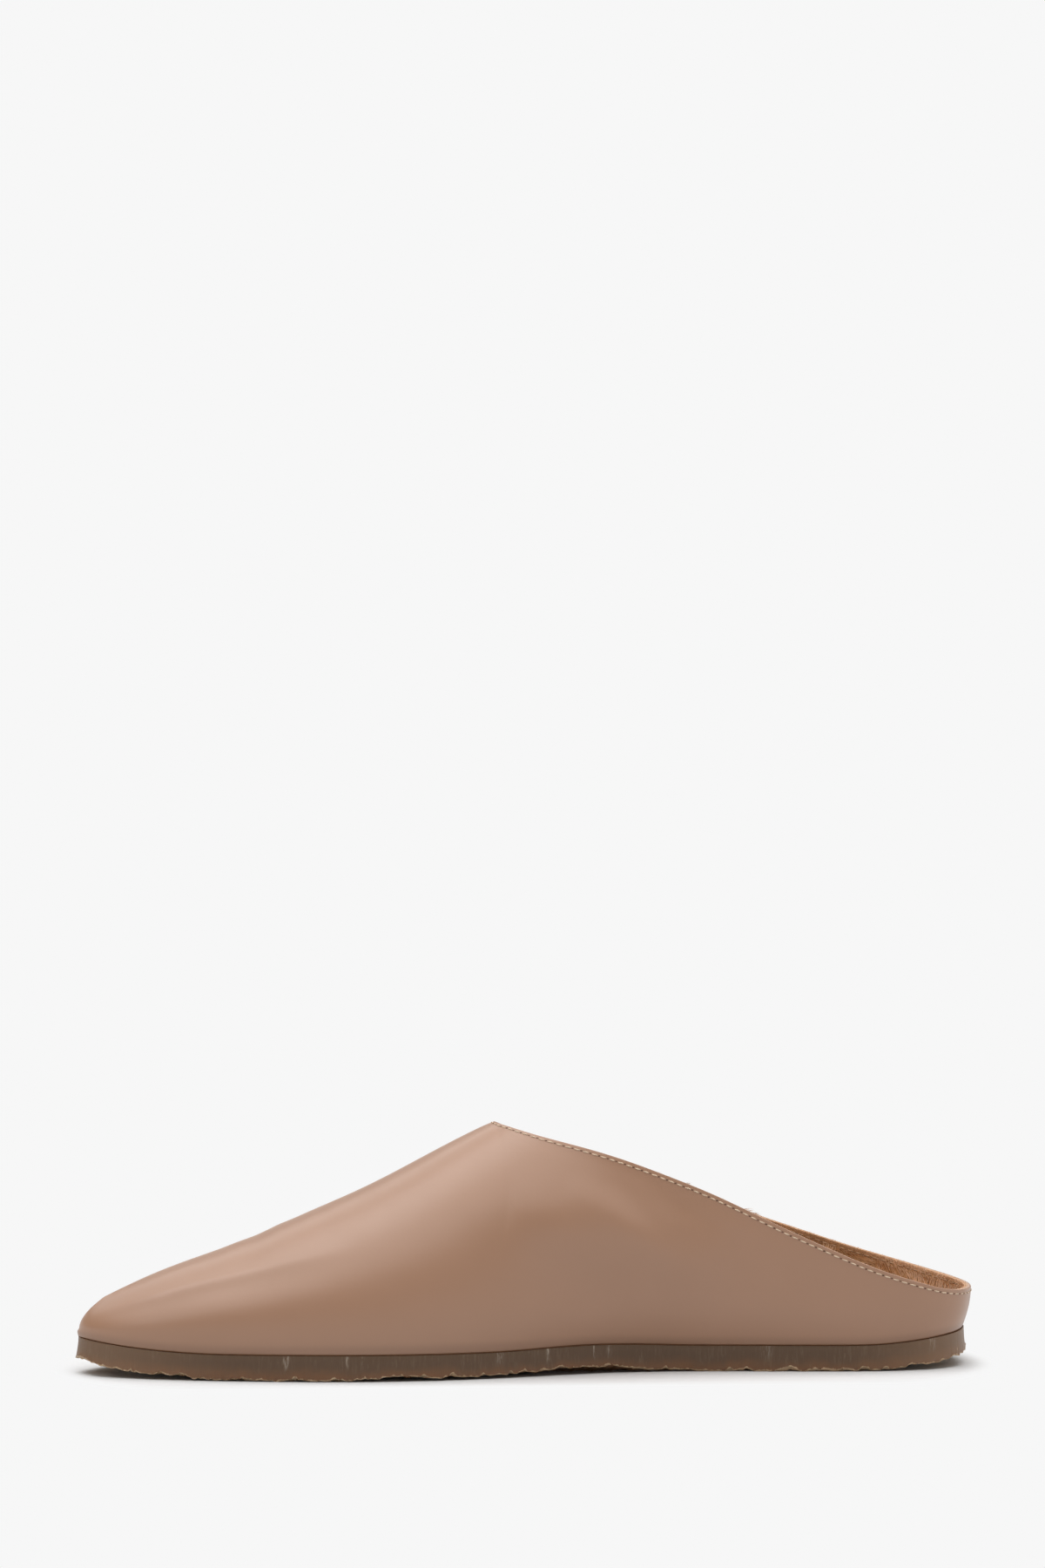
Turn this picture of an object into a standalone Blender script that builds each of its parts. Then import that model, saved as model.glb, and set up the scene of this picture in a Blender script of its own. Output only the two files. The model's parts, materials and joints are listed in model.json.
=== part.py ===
"""A right-foot slip-on mule: a crepe rubber outsole, a one-piece leather upper and a footbed.

The frame is +Z up with the floor at z = 0. The toe points to -X, the heel to +X, the inner (medial)
side of the foot to -Y and the outer (lateral) side to +Y. The origin is the bottom centre of the
whole shoe. Sizes are worked out in millimetres and written to the meshes in metres.

The shoe is described as its last is: the plan of the sole's upper edge, a crown line along the top,
and a rib on each side at every station, which leaves the sole's edge, swells to its widest point
and then rounds over to the crown line. Behind the throat the ribs stop at the topline.
"""

import math
from typing import NamedTuple

import bmesh
import bpy
import numpy as np

MM = 0.001

# Driving sizes in millimetres.
LENGTH = 269.0
BALL_WIDTH = 92.0
INSTEP_HEIGHT = 73.0
HEEL_HEIGHT = 22.4
SOLE_THICKNESS = 7.5
TOE_THINNING = 1.1
TOE_SPRING = 4.5
HEEL_SPRING = 4.1
ARCH_LIFT = 0.9
WALL = 2.2
FOOTBED_THICKNESS = 3.0
SEAT_GAP = 0.3

# The crepe sole stands this far proud of the leather, and flares this much more at its foot:
# a hollow flare, which has gained only a part of it half way down.
SOLE_LEDGE = 0.4
SOLE_FLARE = 0.5
TOE_FLARE = 0.4
MIDDLE_FLARE = 0.35

# Where the sole leaves the floor, as shares of the length from the toe.
TOE_SPRING_END = 0.171
ARCH_START = 0.440
ARCH_END = 0.690
HEEL_SPRING_START = 0.862

# How suddenly each of these curves leaves the level: 1 is a straight ramp, 2 a parabola.
TOE_SPRING_CURVE = 1.9
TOE_THINNING_CURVE = 1.5
HEEL_SPRING_CURVE = 1.5

# The two ends of the sole's upper edge: how far along, and how far to the lateral side.
TOE_TIP_AT = 0.0037
TOE_TIP_ACROSS = -0.152
HEEL_BACK_AT = 0.9885
HEEL_BACK_ACROSS = 0.003

# Where the vamp ends at the throat, and how far the crown line starts from each end of the last.
THROAT_AT = 0.4606
NOSE_SETBACK = 8.4
HEEL_SETBACK = 27.0
NOSE_REACH = 12.0
HEEL_REACH = 30.0

# Stations along each side: toe to throat, then throat to heel. Rings go up each rib.
FRONT_STATIONS = 27
REAR_STATIONS = 29
RINGS = 13
CURVE_PULL = 26.0
THROAT_PULL = 5.0
THROAT_PULL_REACH = 7.0

# Points on the fine lines that the stations and rings are read from.
OUTLINE_STEPS = 1080
WALL_STEPS = 30
SHOULDER_STEPS = 90

# The footbed's upper face follows this share of the wall's outward lean, and stays this much shy.
FOOTBED_LEAN = 0.8
FOOTBED_SHY = 0.2

SHARP_ANGLE = math.radians(50)
CREPE_COLOUR, CREPE_ROUGHNESS = (0.110, 0.068, 0.043), 0.62
LEATHER_COLOUR, LEATHER_ROUGHNESS = (0.319, 0.184, 0.127), 0.45
HAIR_COLOUR, HAIR_ROUGHNESS = (0.434, 0.202, 0.090), 0.90


class EdgeRow(NamedTuple):
    """Plan of the sole's upper edge: half breadths as shares of the ball width."""

    at: float
    medial: float
    lateral: float


class CrownRow(NamedTuple):
    """Crown line: its height as a share of the instep height, and its place across in millimetres.

    The fullness of each side's rib is 0 for a quarter ellipse, more for a squarer shoulder.
    """

    at: float
    height: float
    across: float
    medial_fullness: float
    lateral_fullness: float


class TuckRow(NamedTuple):
    """How far each wall turns in at the sole, and how high above the sole it is widest, in mm."""

    at: float
    medial: float
    lateral: float
    belly: float


class ToplineRow(NamedTuple):
    """Height of the topline on each side: 1 at the instep height, 0 at the heel height."""

    at: float
    medial: float
    lateral: float


EDGE = (
    EdgeRow(at=0.010, medial=0.214, lateral=-0.090),
    EdgeRow(at=0.030, medial=0.277, lateral=0.005),
    EdgeRow(at=0.060, medial=0.333, lateral=0.088),
    EdgeRow(at=0.110, medial=0.392, lateral=0.205),
    EdgeRow(at=0.170, medial=0.440, lateral=0.317),
    EdgeRow(at=0.230, medial=0.475, lateral=0.402),
    EdgeRow(at=0.290, medial=0.496, lateral=0.460),
    EdgeRow(at=0.345, medial=0.497, lateral=0.493),
    EdgeRow(at=0.400, medial=0.477, lateral=0.503),
    EdgeRow(at=0.460, medial=0.430, lateral=0.493),
    EdgeRow(at=0.520, medial=0.368, lateral=0.463),
    EdgeRow(at=0.580, medial=0.313, lateral=0.423),
    EdgeRow(at=0.640, medial=0.281, lateral=0.385),
    EdgeRow(at=0.700, medial=0.282, lateral=0.357),
    EdgeRow(at=0.770, medial=0.305, lateral=0.341),
    EdgeRow(at=0.840, medial=0.325, lateral=0.335),
    EdgeRow(at=0.890, medial=0.325, lateral=0.328),
    EdgeRow(at=0.930, medial=0.300, lateral=0.305),
    EdgeRow(at=0.960, medial=0.248, lateral=0.254),
    EdgeRow(at=0.978, medial=0.172, lateral=0.177),
)

CROWN = (
    CrownRow(at=0.035, height=0.312, across=-13.5, medial_fullness=-0.50, lateral_fullness=-0.50),
    CrownRow(at=0.090, height=0.401, across=-12.5, medial_fullness=-0.06, lateral_fullness=-0.06),
    CrownRow(at=0.170, height=0.502, across=-11.0, medial_fullness=0.00, lateral_fullness=0.00),
    CrownRow(at=0.250, height=0.624, across=-9.5, medial_fullness=0.00, lateral_fullness=-0.04),
    CrownRow(at=0.330, height=0.754, across=-8.0, medial_fullness=0.00, lateral_fullness=-0.10),
    CrownRow(at=0.400, height=0.888, across=-7.0, medial_fullness=-0.02, lateral_fullness=-0.16),
    CrownRow(at=0.4606, height=1.000, across=-6.0, medial_fullness=-0.04, lateral_fullness=-0.25),
    CrownRow(at=0.520, height=1.090, across=-5.0, medial_fullness=0.10, lateral_fullness=-0.30),
    CrownRow(at=0.600, height=1.165, across=-3.5, medial_fullness=0.30, lateral_fullness=-0.28),
    CrownRow(at=0.700, height=1.210, across=-2.0, medial_fullness=0.30, lateral_fullness=-0.20),
    CrownRow(at=0.800, height=1.230, across=-0.5, medial_fullness=0.15, lateral_fullness=0.00),
    CrownRow(at=0.980, height=1.240, across=0.3, medial_fullness=0.10, lateral_fullness=0.10),
)

TUCK = (
    TuckRow(at=0.004, medial=0.3, lateral=0.3, belly=2.0),
    TuckRow(at=0.060, medial=0.9, lateral=0.9, belly=4.5),
    TuckRow(at=0.200, medial=1.0, lateral=1.0, belly=6.0),
    TuckRow(at=0.350, medial=1.2, lateral=1.2, belly=7.0),
    TuckRow(at=0.450, medial=2.2, lateral=1.5, belly=9.5),
    TuckRow(at=0.550, medial=3.4, lateral=1.8, belly=13.0),
    TuckRow(at=0.650, medial=3.8, lateral=2.0, belly=14.0),
    TuckRow(at=0.780, medial=3.0, lateral=2.2, belly=13.0),
    TuckRow(at=0.900, medial=2.6, lateral=2.6, belly=12.5),
    TuckRow(at=0.9885, medial=2.7, lateral=2.7, belly=12.5),
)

TOPLINE = (
    ToplineRow(at=0.4606, medial=1.000, lateral=1.000),
    ToplineRow(at=0.475, medial=0.980, lateral=0.962),
    ToplineRow(at=0.500, medial=0.942, lateral=0.905),
    ToplineRow(at=0.550, medial=0.873, lateral=0.830),
    ToplineRow(at=0.600, medial=0.792, lateral=0.747),
    ToplineRow(at=0.650, medial=0.691, lateral=0.649),
    ToplineRow(at=0.700, medial=0.582, lateral=0.535),
    ToplineRow(at=0.760, medial=0.427, lateral=0.403),
    ToplineRow(at=0.820, medial=0.280, lateral=0.294),
    ToplineRow(at=0.880, medial=0.146, lateral=0.186),
    ToplineRow(at=0.920, medial=0.077, lateral=0.125),
    ToplineRow(at=0.960, medial=0.022, lateral=0.066),
    ToplineRow(at=1.000, medial=0.012, lateral=0.012),
)

SIDES = ("medial", "lateral")
ACROSS_SIGN = {"medial": -1.0, "lateral": 1.0}


def cubic_spline(knots, values, closed=False):
    """A smooth curve through the values: natural at its ends, or closed on itself."""
    knots = np.asarray(knots, float)
    values = np.asarray(values, float).reshape(len(knots), -1)
    steps = np.diff(knots)
    slopes = np.diff(values, axis=0) / steps[:, None]
    count = len(knots)
    system = np.eye(count)
    right = np.zeros_like(values)
    for row in range(1, count - 1):
        system[row, row - 1 : row + 2] = (
            steps[row - 1],
            2 * (steps[row - 1] + steps[row]),
            steps[row],
        )
        right[row] = 6 * (slopes[row] - slopes[row - 1])
    if closed:
        system[0] = 0
        system[0, [0, 1, -2]] = 2 * (steps[-1] + steps[0]), steps[0], steps[-1]
        right[0] = 6 * (slopes[0] - slopes[-1])
        system[-1] = 0
        system[-1, [0, -1]] = 1, -1
    bend = np.linalg.solve(system, right)

    def curve(place):
        place = np.clip(np.atleast_1d(np.asarray(place, float)), knots[0], knots[-1])
        span = np.clip(np.searchsorted(knots, place, side="right") - 1, 0, count - 2)
        step = steps[span][:, None]
        ahead = (knots[span + 1] - place)[:, None]
        behind = (place - knots[span])[:, None]
        result = (bend[span] * ahead**3 + bend[span + 1] * behind**3) / (6 * step)
        result += (values[span] / step - bend[span] * step / 6) * ahead
        result += (values[span + 1] / step - bend[span + 1] * step / 6) * behind
        return result

    return curve


def table_curve(rows, column, scale=1.0, base=0.0):
    """A spline through one column of a table, read by distance from the toe in millimetres."""
    knots = [row.at * LENGTH for row in rows]
    curve = cubic_spline(knots, [base + getattr(row, column) * scale for row in rows])
    return lambda along: curve(along)[:, 0]


crown_height = table_curve(CROWN, "height", INSTEP_HEIGHT)
crown_across = table_curve(CROWN, "across")
belly_height = table_curve(TUCK, "belly")
fullness = {side: table_curve(CROWN, side + "_fullness") for side in SIDES}
tuck = {side: table_curve(TUCK, side) for side in SIDES}
topline_height = {
    side: table_curve(TOPLINE, side, INSTEP_HEIGHT - HEEL_HEIGHT, HEEL_HEIGHT) for side in SIDES
}


def sole_lift(along):
    """Height of the sole's underside: toe spring, a slight arch and heel spring."""
    along = np.asarray(along, float)
    toe_end = TOE_SPRING_END * LENGTH
    arch = (ARCH_START * LENGTH, ARCH_END * LENGTH)
    heel_start = HEEL_SPRING_START * LENGTH
    toe = TOE_SPRING * np.clip(1 - along / toe_end, 0, None) ** TOE_SPRING_CURVE
    waist = ARCH_LIFT * np.sin(math.pi * np.clip((along - arch[0]) / (arch[1] - arch[0]), 0, 1)) ** 2
    past_heel = np.clip(along - heel_start, 0, None) / (LENGTH - heel_start)
    return toe + waist + HEEL_SPRING * past_heel**HEEL_SPRING_CURVE


def sole_top(along):
    """Height of the sole's upper face, which thins towards the toe."""
    toe_end = TOE_SPRING_END * LENGTH
    ahead = np.clip(1 - np.asarray(along, float) / toe_end, 0, None)
    return sole_lift(along) + SOLE_THICKNESS - TOE_THINNING * ahead**TOE_THINNING_CURVE


def edge_outline():
    """Each side of the sole's upper edge, toe to heel, as finely spaced (along, across) points."""
    tip = (TOE_TIP_AT * LENGTH, TOE_TIP_ACROSS * BALL_WIDTH)
    back = (HEEL_BACK_AT * LENGTH, HEEL_BACK_ACROSS * BALL_WIDTH)
    medial = [(row.at * LENGTH, -row.medial * BALL_WIDTH) for row in EDGE]
    lateral = [(row.at * LENGTH, row.lateral * BALL_WIDTH) for row in EDGE]
    loop = np.array([back, *reversed(medial), tip, *lateral, back])
    # The square root of each chord as the knot spacing keeps the tight ends round.
    chords = np.linalg.norm(np.diff(loop, axis=0), axis=1)
    knots = np.concatenate([[0], np.cumsum(np.sqrt(chords))])
    curve = cubic_spline(knots, loop, closed=True)
    tip_knot = knots[len(medial) + 1]
    medial_points = curve(np.linspace(tip_knot, 0, OUTLINE_STEPS))
    lateral_points = curve(np.linspace(tip_knot, knots[-1], OUTLINE_STEPS))
    return {"medial": medial_points, "lateral": lateral_points}


def plan_normals(points, side):
    """Outward directions of one side of a plan outline that runs from the toe to the heel."""
    tangent = np.gradient(points, axis=0)
    # At the two ends both sides share one direction: straight ahead and straight back.
    tangent[0] = (0, ACROSS_SIGN[side])
    tangent[-1] = (0, -ACROSS_SIGN[side])
    tangent /= np.linalg.norm(tangent, axis=1)[:, None]
    return ACROSS_SIGN[side] * np.column_stack([-tangent[:, 1], tangent[:, 0]])


def spaced(points, count, crowd=None):
    """Indices of count + 1 of the points, closer together where the line bends or crowd says."""
    step = np.linalg.norm(np.diff(points, axis=0), axis=1)
    heading = np.unwrap(np.arctan2(*np.diff(points, axis=0).T[::-1]))
    turn = np.abs(np.gradient(heading))
    weight = step + CURVE_PULL * turn
    if crowd is not None:
        weight = weight + step * crowd(points[:-1, 0])
    travel = np.concatenate([[0], np.cumsum(weight)])
    wanted = np.linspace(0, travel[-1], count + 1)
    return np.clip(np.searchsorted(travel, wanted), 0, len(points) - 1)


def throat_crowd(along):
    """Extra stations just behind the throat, where the topline is round."""
    return THROAT_PULL * np.exp(-(along - THROAT_AT * LENGTH) / THROAT_PULL_REACH)


def station_edges():
    """The sole's upper edge and its outward directions at the stations of each side."""
    edges = {}
    for side, points in edge_outline().items():
        outward = plan_normals(points, side)
        throat = int(np.argmin(np.abs(points[:, 0] - THROAT_AT * LENGTH)))
        front = spaced(points[: throat + 1], FRONT_STATIONS)
        rear = spaced(points[throat:], REAR_STATIONS, throat_crowd) + throat
        chosen = np.concatenate([front, rear[1:]])
        edges[side] = (points[chosen], outward[chosen])
    return edges


def crown_places(edges):
    """Where each station's ribs meet the crown line, from the toe, drawn in from both ends."""
    along = (edges["medial"][0][:, 0] + edges["lateral"][0][:, 0]) / 2
    tip, back = TOE_TIP_AT * LENGTH, HEEL_BACK_AT * LENGTH
    nose = NOSE_SETBACK * np.exp(-(along - tip) / NOSE_REACH)
    heel = HEEL_SETBACK * np.exp(-(back - along) / HEEL_REACH)
    place = along + nose - heel
    place[FRONT_STATIONS] = THROAT_AT * LENGTH
    return place


def rib(foot, crown, side):
    """One rib as points from the sole's edge up to the crown line, before any cut."""
    along = foot[0]
    reach = foot[:2] - crown[:2]
    half = math.hypot(*reach)
    outward = reach / half
    turned_in = tuck[side](along)[0]
    belly = belly_height(along)[0]
    full = fullness[side](crown[0])[0]
    slope = (crown_height(crown[0] + 1)[0] - crown_height(crown[0] - 1)[0]) / 2
    lean = max(0.0, -slope * outward[0])
    widest = half + turned_in
    rise = crown[2] - foot[2] - belly - lean * widest
    low = np.linspace(0, 1, WALL_STEPS, endpoint=False)
    low_out = widest - turned_in * (1 - low) ** 2
    low_up = foot[2] + belly * low
    angle = np.linspace(0, math.pi / 2, SHOULDER_STEPS)
    high_out = widest * np.cos(angle) * (1 + full * np.sin(angle) ** 2)
    high_up = foot[2] + belly + lean * (widest - high_out) + rise * np.sin(angle)
    out = np.concatenate([low_out, high_out])
    up = np.concatenate([low_up, high_up])
    return np.column_stack([crown[:2] + out[:, None] * outward, up])


def cut_at_topline(points, side):
    """The part of a rib below the topline, ending exactly on it."""
    above = points[:, 2] - topline_height[side](points[:, 0])
    over = int(np.argmax(above > 0))
    share = above[over - 1] / (above[over - 1] - above[over])
    last = points[over - 1] + share * (points[over] - points[over - 1])
    return np.vstack([points[:over], last])


def evened(points):
    """The rib again, as RINGS + 1 points at even distances along it."""
    step = np.linalg.norm(np.diff(points, axis=0), axis=1)
    travel = np.concatenate([[0], np.cumsum(step)])
    wanted = np.linspace(0, travel[-1], RINGS + 1)
    return np.column_stack([np.interp(wanted, travel, points[:, axis]) for axis in range(3)])


def upper_grid(edges):
    """Outer face of the upper: for each side, stations by rings by (along, across, up)."""
    places = crown_places(edges)
    grid = {}
    for side in SIDES:
        points, outward = edges[side]
        feet = points - SOLE_LEDGE * outward
        ribs = []
        for station, place in enumerate(places):
            foot = np.array([*feet[station], sole_top(feet[station, 0]) + SEAT_GAP])
            crown = np.array([place, crown_across(place)[0], crown_height(place)[0]])
            line = rib(foot, crown, side)
            if station > FRONT_STATIONS:
                line = cut_at_topline(line, side)
            ribs.append(evened(line))
        grid[side] = np.array(ribs)
    # Both sides share the rib at the toe, the rib at the heel and the crown line between them.
    for station in (0, len(places) - 1):
        middle = (grid["medial"][station] + grid["lateral"][station]) / 2
        grid["medial"][station] = grid["lateral"][station] = middle
    return grid


def grid_indices():
    """Vertex numbers of the upper's grid, with the shared toe, heel and crown line welded."""
    stations = FRONT_STATIONS + REAR_STATIONS + 1
    numbers = {side: np.zeros((stations, RINGS + 1), int) for side in SIDES}
    count = 0
    for side in SIDES:
        for station in range(stations):
            for ring in range(RINGS + 1):
                on_end = station in (0, stations - 1)
                on_crown = ring == RINGS and station <= FRONT_STATIONS
                if side == "lateral" and (on_end or on_crown):
                    numbers[side][station, ring] = numbers["medial"][station, ring]
                else:
                    numbers[side][station, ring] = count
                    count += 1
    return numbers, count


def grid_quads(numbers):
    """Four-sided faces of the grid, wound so that they face outwards."""
    quads = []
    for side in SIDES:
        table = numbers[side]
        for station in range(len(table) - 1):
            for ring in range(RINGS):
                corners = (
                    table[station, ring],
                    table[station + 1, ring],
                    table[station + 1, ring + 1],
                    table[station, ring + 1],
                )
                quads.append(corners if side == "medial" else corners[::-1])
    return np.array(quads)


def vertex_normals(points, quads):
    """Outward normals of a grid's vertices, averaged over the faces round each."""
    across = points[quads[:, 2]] - points[quads[:, 0]]
    along = points[quads[:, 3]] - points[quads[:, 1]]
    facing = np.cross(across, along)
    normals = np.zeros_like(points)
    for corner in range(4):
        np.add.at(normals, quads[:, corner], facing)
    return normals / np.linalg.norm(normals, axis=1)[:, None]


def border_loop(numbers, ring, first):
    """Vertex numbers of one ring all the way round, from a station of the medial side."""
    there = list(numbers["medial"][first:, ring])
    back = list(numbers["lateral"][first:, ring][::-1])
    loop = there + back[1:]
    return loop[:-1] if loop[0] == loop[-1] else loop


def build_upper(edges):
    """The leather upper as points and faces: outer face, inner face, topline rim and lower rim."""
    grid = upper_grid(edges)
    numbers, count = grid_indices()
    outer = np.zeros((count, 3))
    for side in SIDES:
        outer[numbers[side]] = grid[side]
    quads = grid_quads(numbers)
    inner = outer - WALL * vertex_normals(outer, quads)
    # The lower rim is level, so the inner wall ends straight across from the outer one.
    for side in SIDES:
        points, outward = edges[side]
        feet = points - (SOLE_LEDGE + WALL) * outward
        ring = numbers[side][:, 0]
        inner[ring] = np.column_stack([feet, outer[ring, 2]])
    faces = [tuple(quad) for quad in quads]
    faces += [tuple(count + vertex for vertex in quad[::-1]) for quad in quads]
    for ring, first, turn in ((RINGS, FRONT_STATIONS, 1), (0, 0, -1)):
        loop = border_loop(numbers, ring, first)
        for here, there in zip(loop, loop[1:] + loop[:1]):
            faces.append((here, there, count + there, count + here)[::turn])
    return np.vstack([outer, inner]), faces


def build_slab(rings):
    """A slab as points and faces: loops of equal count stacked upwards, capped by cross strips."""
    count = len(rings[0])
    points = np.vstack(rings)
    faces = []
    for level in range(len(rings) - 1):
        low, high = level * count, (level + 1) * count
        for here in range(count):
            there = (here + 1) % count
            faces.append((low + here, low + there, high + there, high + here))
    half = count // 2
    for start, turn in ((0, -1), ((len(rings) - 1) * count, 1)):
        for step in range(half):
            left, left_next = start + step, start + step + 1
            right = start + (count - step) % count
            right_next = start + count - step - 1
            strip = (left, left_next, right_next, right)
            face = tuple(dict.fromkeys(strip))
            faces.append(face[::turn])
    return points, faces


def slab_ring(edges, outset, height):
    """A loop round the shoe, moved out from the sole's upper edge, at a height along its length."""
    loops = {}
    for side in SIDES:
        points, outward = edges[side]
        far = outset(points[:, 0]) if callable(outset) else outset
        moved = points + np.reshape(far, (-1, 1)) * outward
        loops[side] = np.column_stack([moved, height(points[:, 0])])
    return np.vstack([loops["medial"], loops["lateral"][-2:0:-1]])


def build_outsole(edges):
    """The crepe outsole: a flared side wall between its sprung underside and its upper face."""

    def flare(along):
        return SOLE_FLARE + TOE_FLARE * np.clip(1 - along / (TOE_SPRING_END * LENGTH), 0, None)

    def half_flare(along):
        return flare(along) * MIDDLE_FLARE

    def half_height(along):
        return (sole_lift(along) + sole_top(along)) / 2

    middle = slab_ring(edges, half_flare, half_height)
    return build_slab([slab_ring(edges, flare, sole_lift), middle, slab_ring(edges, 0.0, sole_top)])


def build_footbed(edges):
    """The footbed, 0.3 mm above the outsole and 0.3 mm inside the upper's wall."""
    inset = -(SOLE_LEDGE + WALL + SEAT_GAP)

    def leaning_out(along):
        """How far the wall has moved out at the footbed's upper face, less the gap it keeps."""
        share = np.clip(1 - FOOTBED_THICKNESS / belly_height(along), 0, 1)
        least = np.minimum(tuck["medial"](along), tuck["lateral"](along))
        return inset - FOOTBED_SHY + FOOTBED_LEAN * least * (1 - share**2)

    lower = slab_ring(edges, inset, lambda along: sole_top(along) + SEAT_GAP)
    upper = slab_ring(
        edges, leaning_out, lambda along: sole_top(along) + SEAT_GAP + FOOTBED_THICKNESS
    )
    return build_slab([lower, upper])


def principled(name, colour, roughness):
    """A Principled material of one colour, given as linear RGB."""
    material = bpy.data.materials.new(name)
    material.use_nodes = True
    shader = material.node_tree.nodes["Principled BSDF"]
    shader.inputs["Base Color"].default_value = (*colour, 1.0)
    shader.inputs["Roughness"].default_value = roughness
    return material


def add_object(name, points, faces, material):
    """One closed body as an object, smooth except across its sharp edges."""
    mesh = bpy.data.meshes.new(name)
    mesh.from_pydata((points * MM).tolist(), [], faces)
    shape = bmesh.new()
    shape.from_mesh(mesh)
    bmesh.ops.recalc_face_normals(shape, faces=shape.faces)
    # Split along the longer diagonal, each grid square stays readable as one pair of triangles.
    squares = [face for face in shape.faces if len(face.verts) > 3]
    bmesh.ops.triangulate(shape, faces=squares, quad_method="LONG_EDGE")
    shape.to_mesh(mesh)
    shape.free()
    mesh.shade_smooth()
    mesh.set_sharp_from_angle(angle=SHARP_ANGLE)
    mesh.materials.append(material)
    made = bpy.data.objects.new(name, mesh)
    bpy.context.scene.collection.objects.link(made)
    return made


def centred(pieces):
    """Moves every piece so that the whole shoe's box is centred on the origin."""
    everything = np.vstack([points for points, _ in pieces.values()])
    middle = (everything.min(axis=0) + everything.max(axis=0)) / 2
    shift = np.array([middle[0], middle[1], 0.0])
    return {name: (points - shift, faces) for name, (points, faces) in pieces.items()}


def main():
    """Clears the scene and builds the three pieces."""
    for old in list(bpy.data.objects):
        bpy.data.objects.remove(old)
    edges = station_edges()
    pieces = centred(
        {
            "outsole": build_outsole(edges),
            "upper": build_upper(edges),
            "insole": build_footbed(edges),
        }
    )
    finishes = {
        "outsole": principled("crepe_rubber", CREPE_COLOUR, CREPE_ROUGHNESS),
        "upper": principled("smooth_leather", LEATHER_COLOUR, LEATHER_ROUGHNESS),
        "insole": principled("sheared_hair", HAIR_COLOUR, HAIR_ROUGHNESS),
    }
    for name, (points, faces) in pieces.items():
        add_object(name, points, faces, finishes[name])


main()
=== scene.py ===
"""The looks of a right-foot slip-on mule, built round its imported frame.

The upper is one piece of satin calf with a cut and stitched topline, the lining is short tan hair,
and the sole is a sheet of natural crepe rubber with a clean side and a torn lower edge. The frame
is +Z up on the floor, toe to -X, inner (medial) side to -Y. Sizes are in metres, written with MM.
"""

import contextlib
import json
import logging
import math
from collections.abc import Iterator
from dataclasses import dataclass, field
from enum import Enum

import bmesh
import bpy
import numpy as np
from mathutils import Matrix, Vector, noise
from mathutils.bvhtree import BVHTree
from mathutils.kdtree import KDTree

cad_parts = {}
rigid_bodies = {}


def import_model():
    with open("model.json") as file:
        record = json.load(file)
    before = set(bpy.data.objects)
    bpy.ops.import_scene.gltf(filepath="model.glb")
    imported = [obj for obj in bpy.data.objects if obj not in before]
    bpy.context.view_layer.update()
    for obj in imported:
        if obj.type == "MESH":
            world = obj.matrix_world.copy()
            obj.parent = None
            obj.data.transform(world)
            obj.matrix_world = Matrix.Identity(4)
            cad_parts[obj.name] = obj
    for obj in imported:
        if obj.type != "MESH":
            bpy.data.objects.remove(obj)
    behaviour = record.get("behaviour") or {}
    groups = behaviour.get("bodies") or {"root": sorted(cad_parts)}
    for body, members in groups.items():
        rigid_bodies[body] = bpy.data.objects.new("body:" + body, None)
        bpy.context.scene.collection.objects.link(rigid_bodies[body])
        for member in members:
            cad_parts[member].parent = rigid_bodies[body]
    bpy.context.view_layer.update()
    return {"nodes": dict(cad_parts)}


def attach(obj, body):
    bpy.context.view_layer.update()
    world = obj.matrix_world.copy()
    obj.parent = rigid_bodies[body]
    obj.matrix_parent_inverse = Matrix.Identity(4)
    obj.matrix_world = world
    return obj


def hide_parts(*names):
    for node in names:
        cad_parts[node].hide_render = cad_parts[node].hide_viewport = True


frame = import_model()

LOG = logging.getLogger("mule")
MM = 0.001
BODY = "root"
Array = np.ndarray
# Layers of noise: the height, wavelength and seed of each.
Layers = tuple[tuple[float, float, float], ...]


class Zone(Enum):
    """The faces of the upper's shell, numbered as its material slots are."""

    OUTSIDE = 0
    CUT_EDGE = 1
    INSIDE = 2
    TURNED_EDGE = 3


class Side(Enum):
    """The two sides of the foot, with the sign of Y on each."""

    MEDIAL = -1
    LATERAL = 1


# --------------------------------------------------------------------------------------------
# Small tools
# --------------------------------------------------------------------------------------------


def linear(colour: str) -> tuple[float, float, float, float]:
    """Turns an sRGB hex colour to the linear RGBA that shaders take.

    Args:
        colour: Six hex digits after a hash.

    Returns:
        Linear red, green, blue and an alpha of 1.
    """
    parts = [int(colour[place : place + 2], 16) / 255 for place in (1, 3, 5)]
    curved = [
        part / 12.92 if part <= 0.04045 else ((part + 0.055) / 1.055) ** 2.4 for part in parts
    ]
    return (*curved, 1.0)


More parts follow.
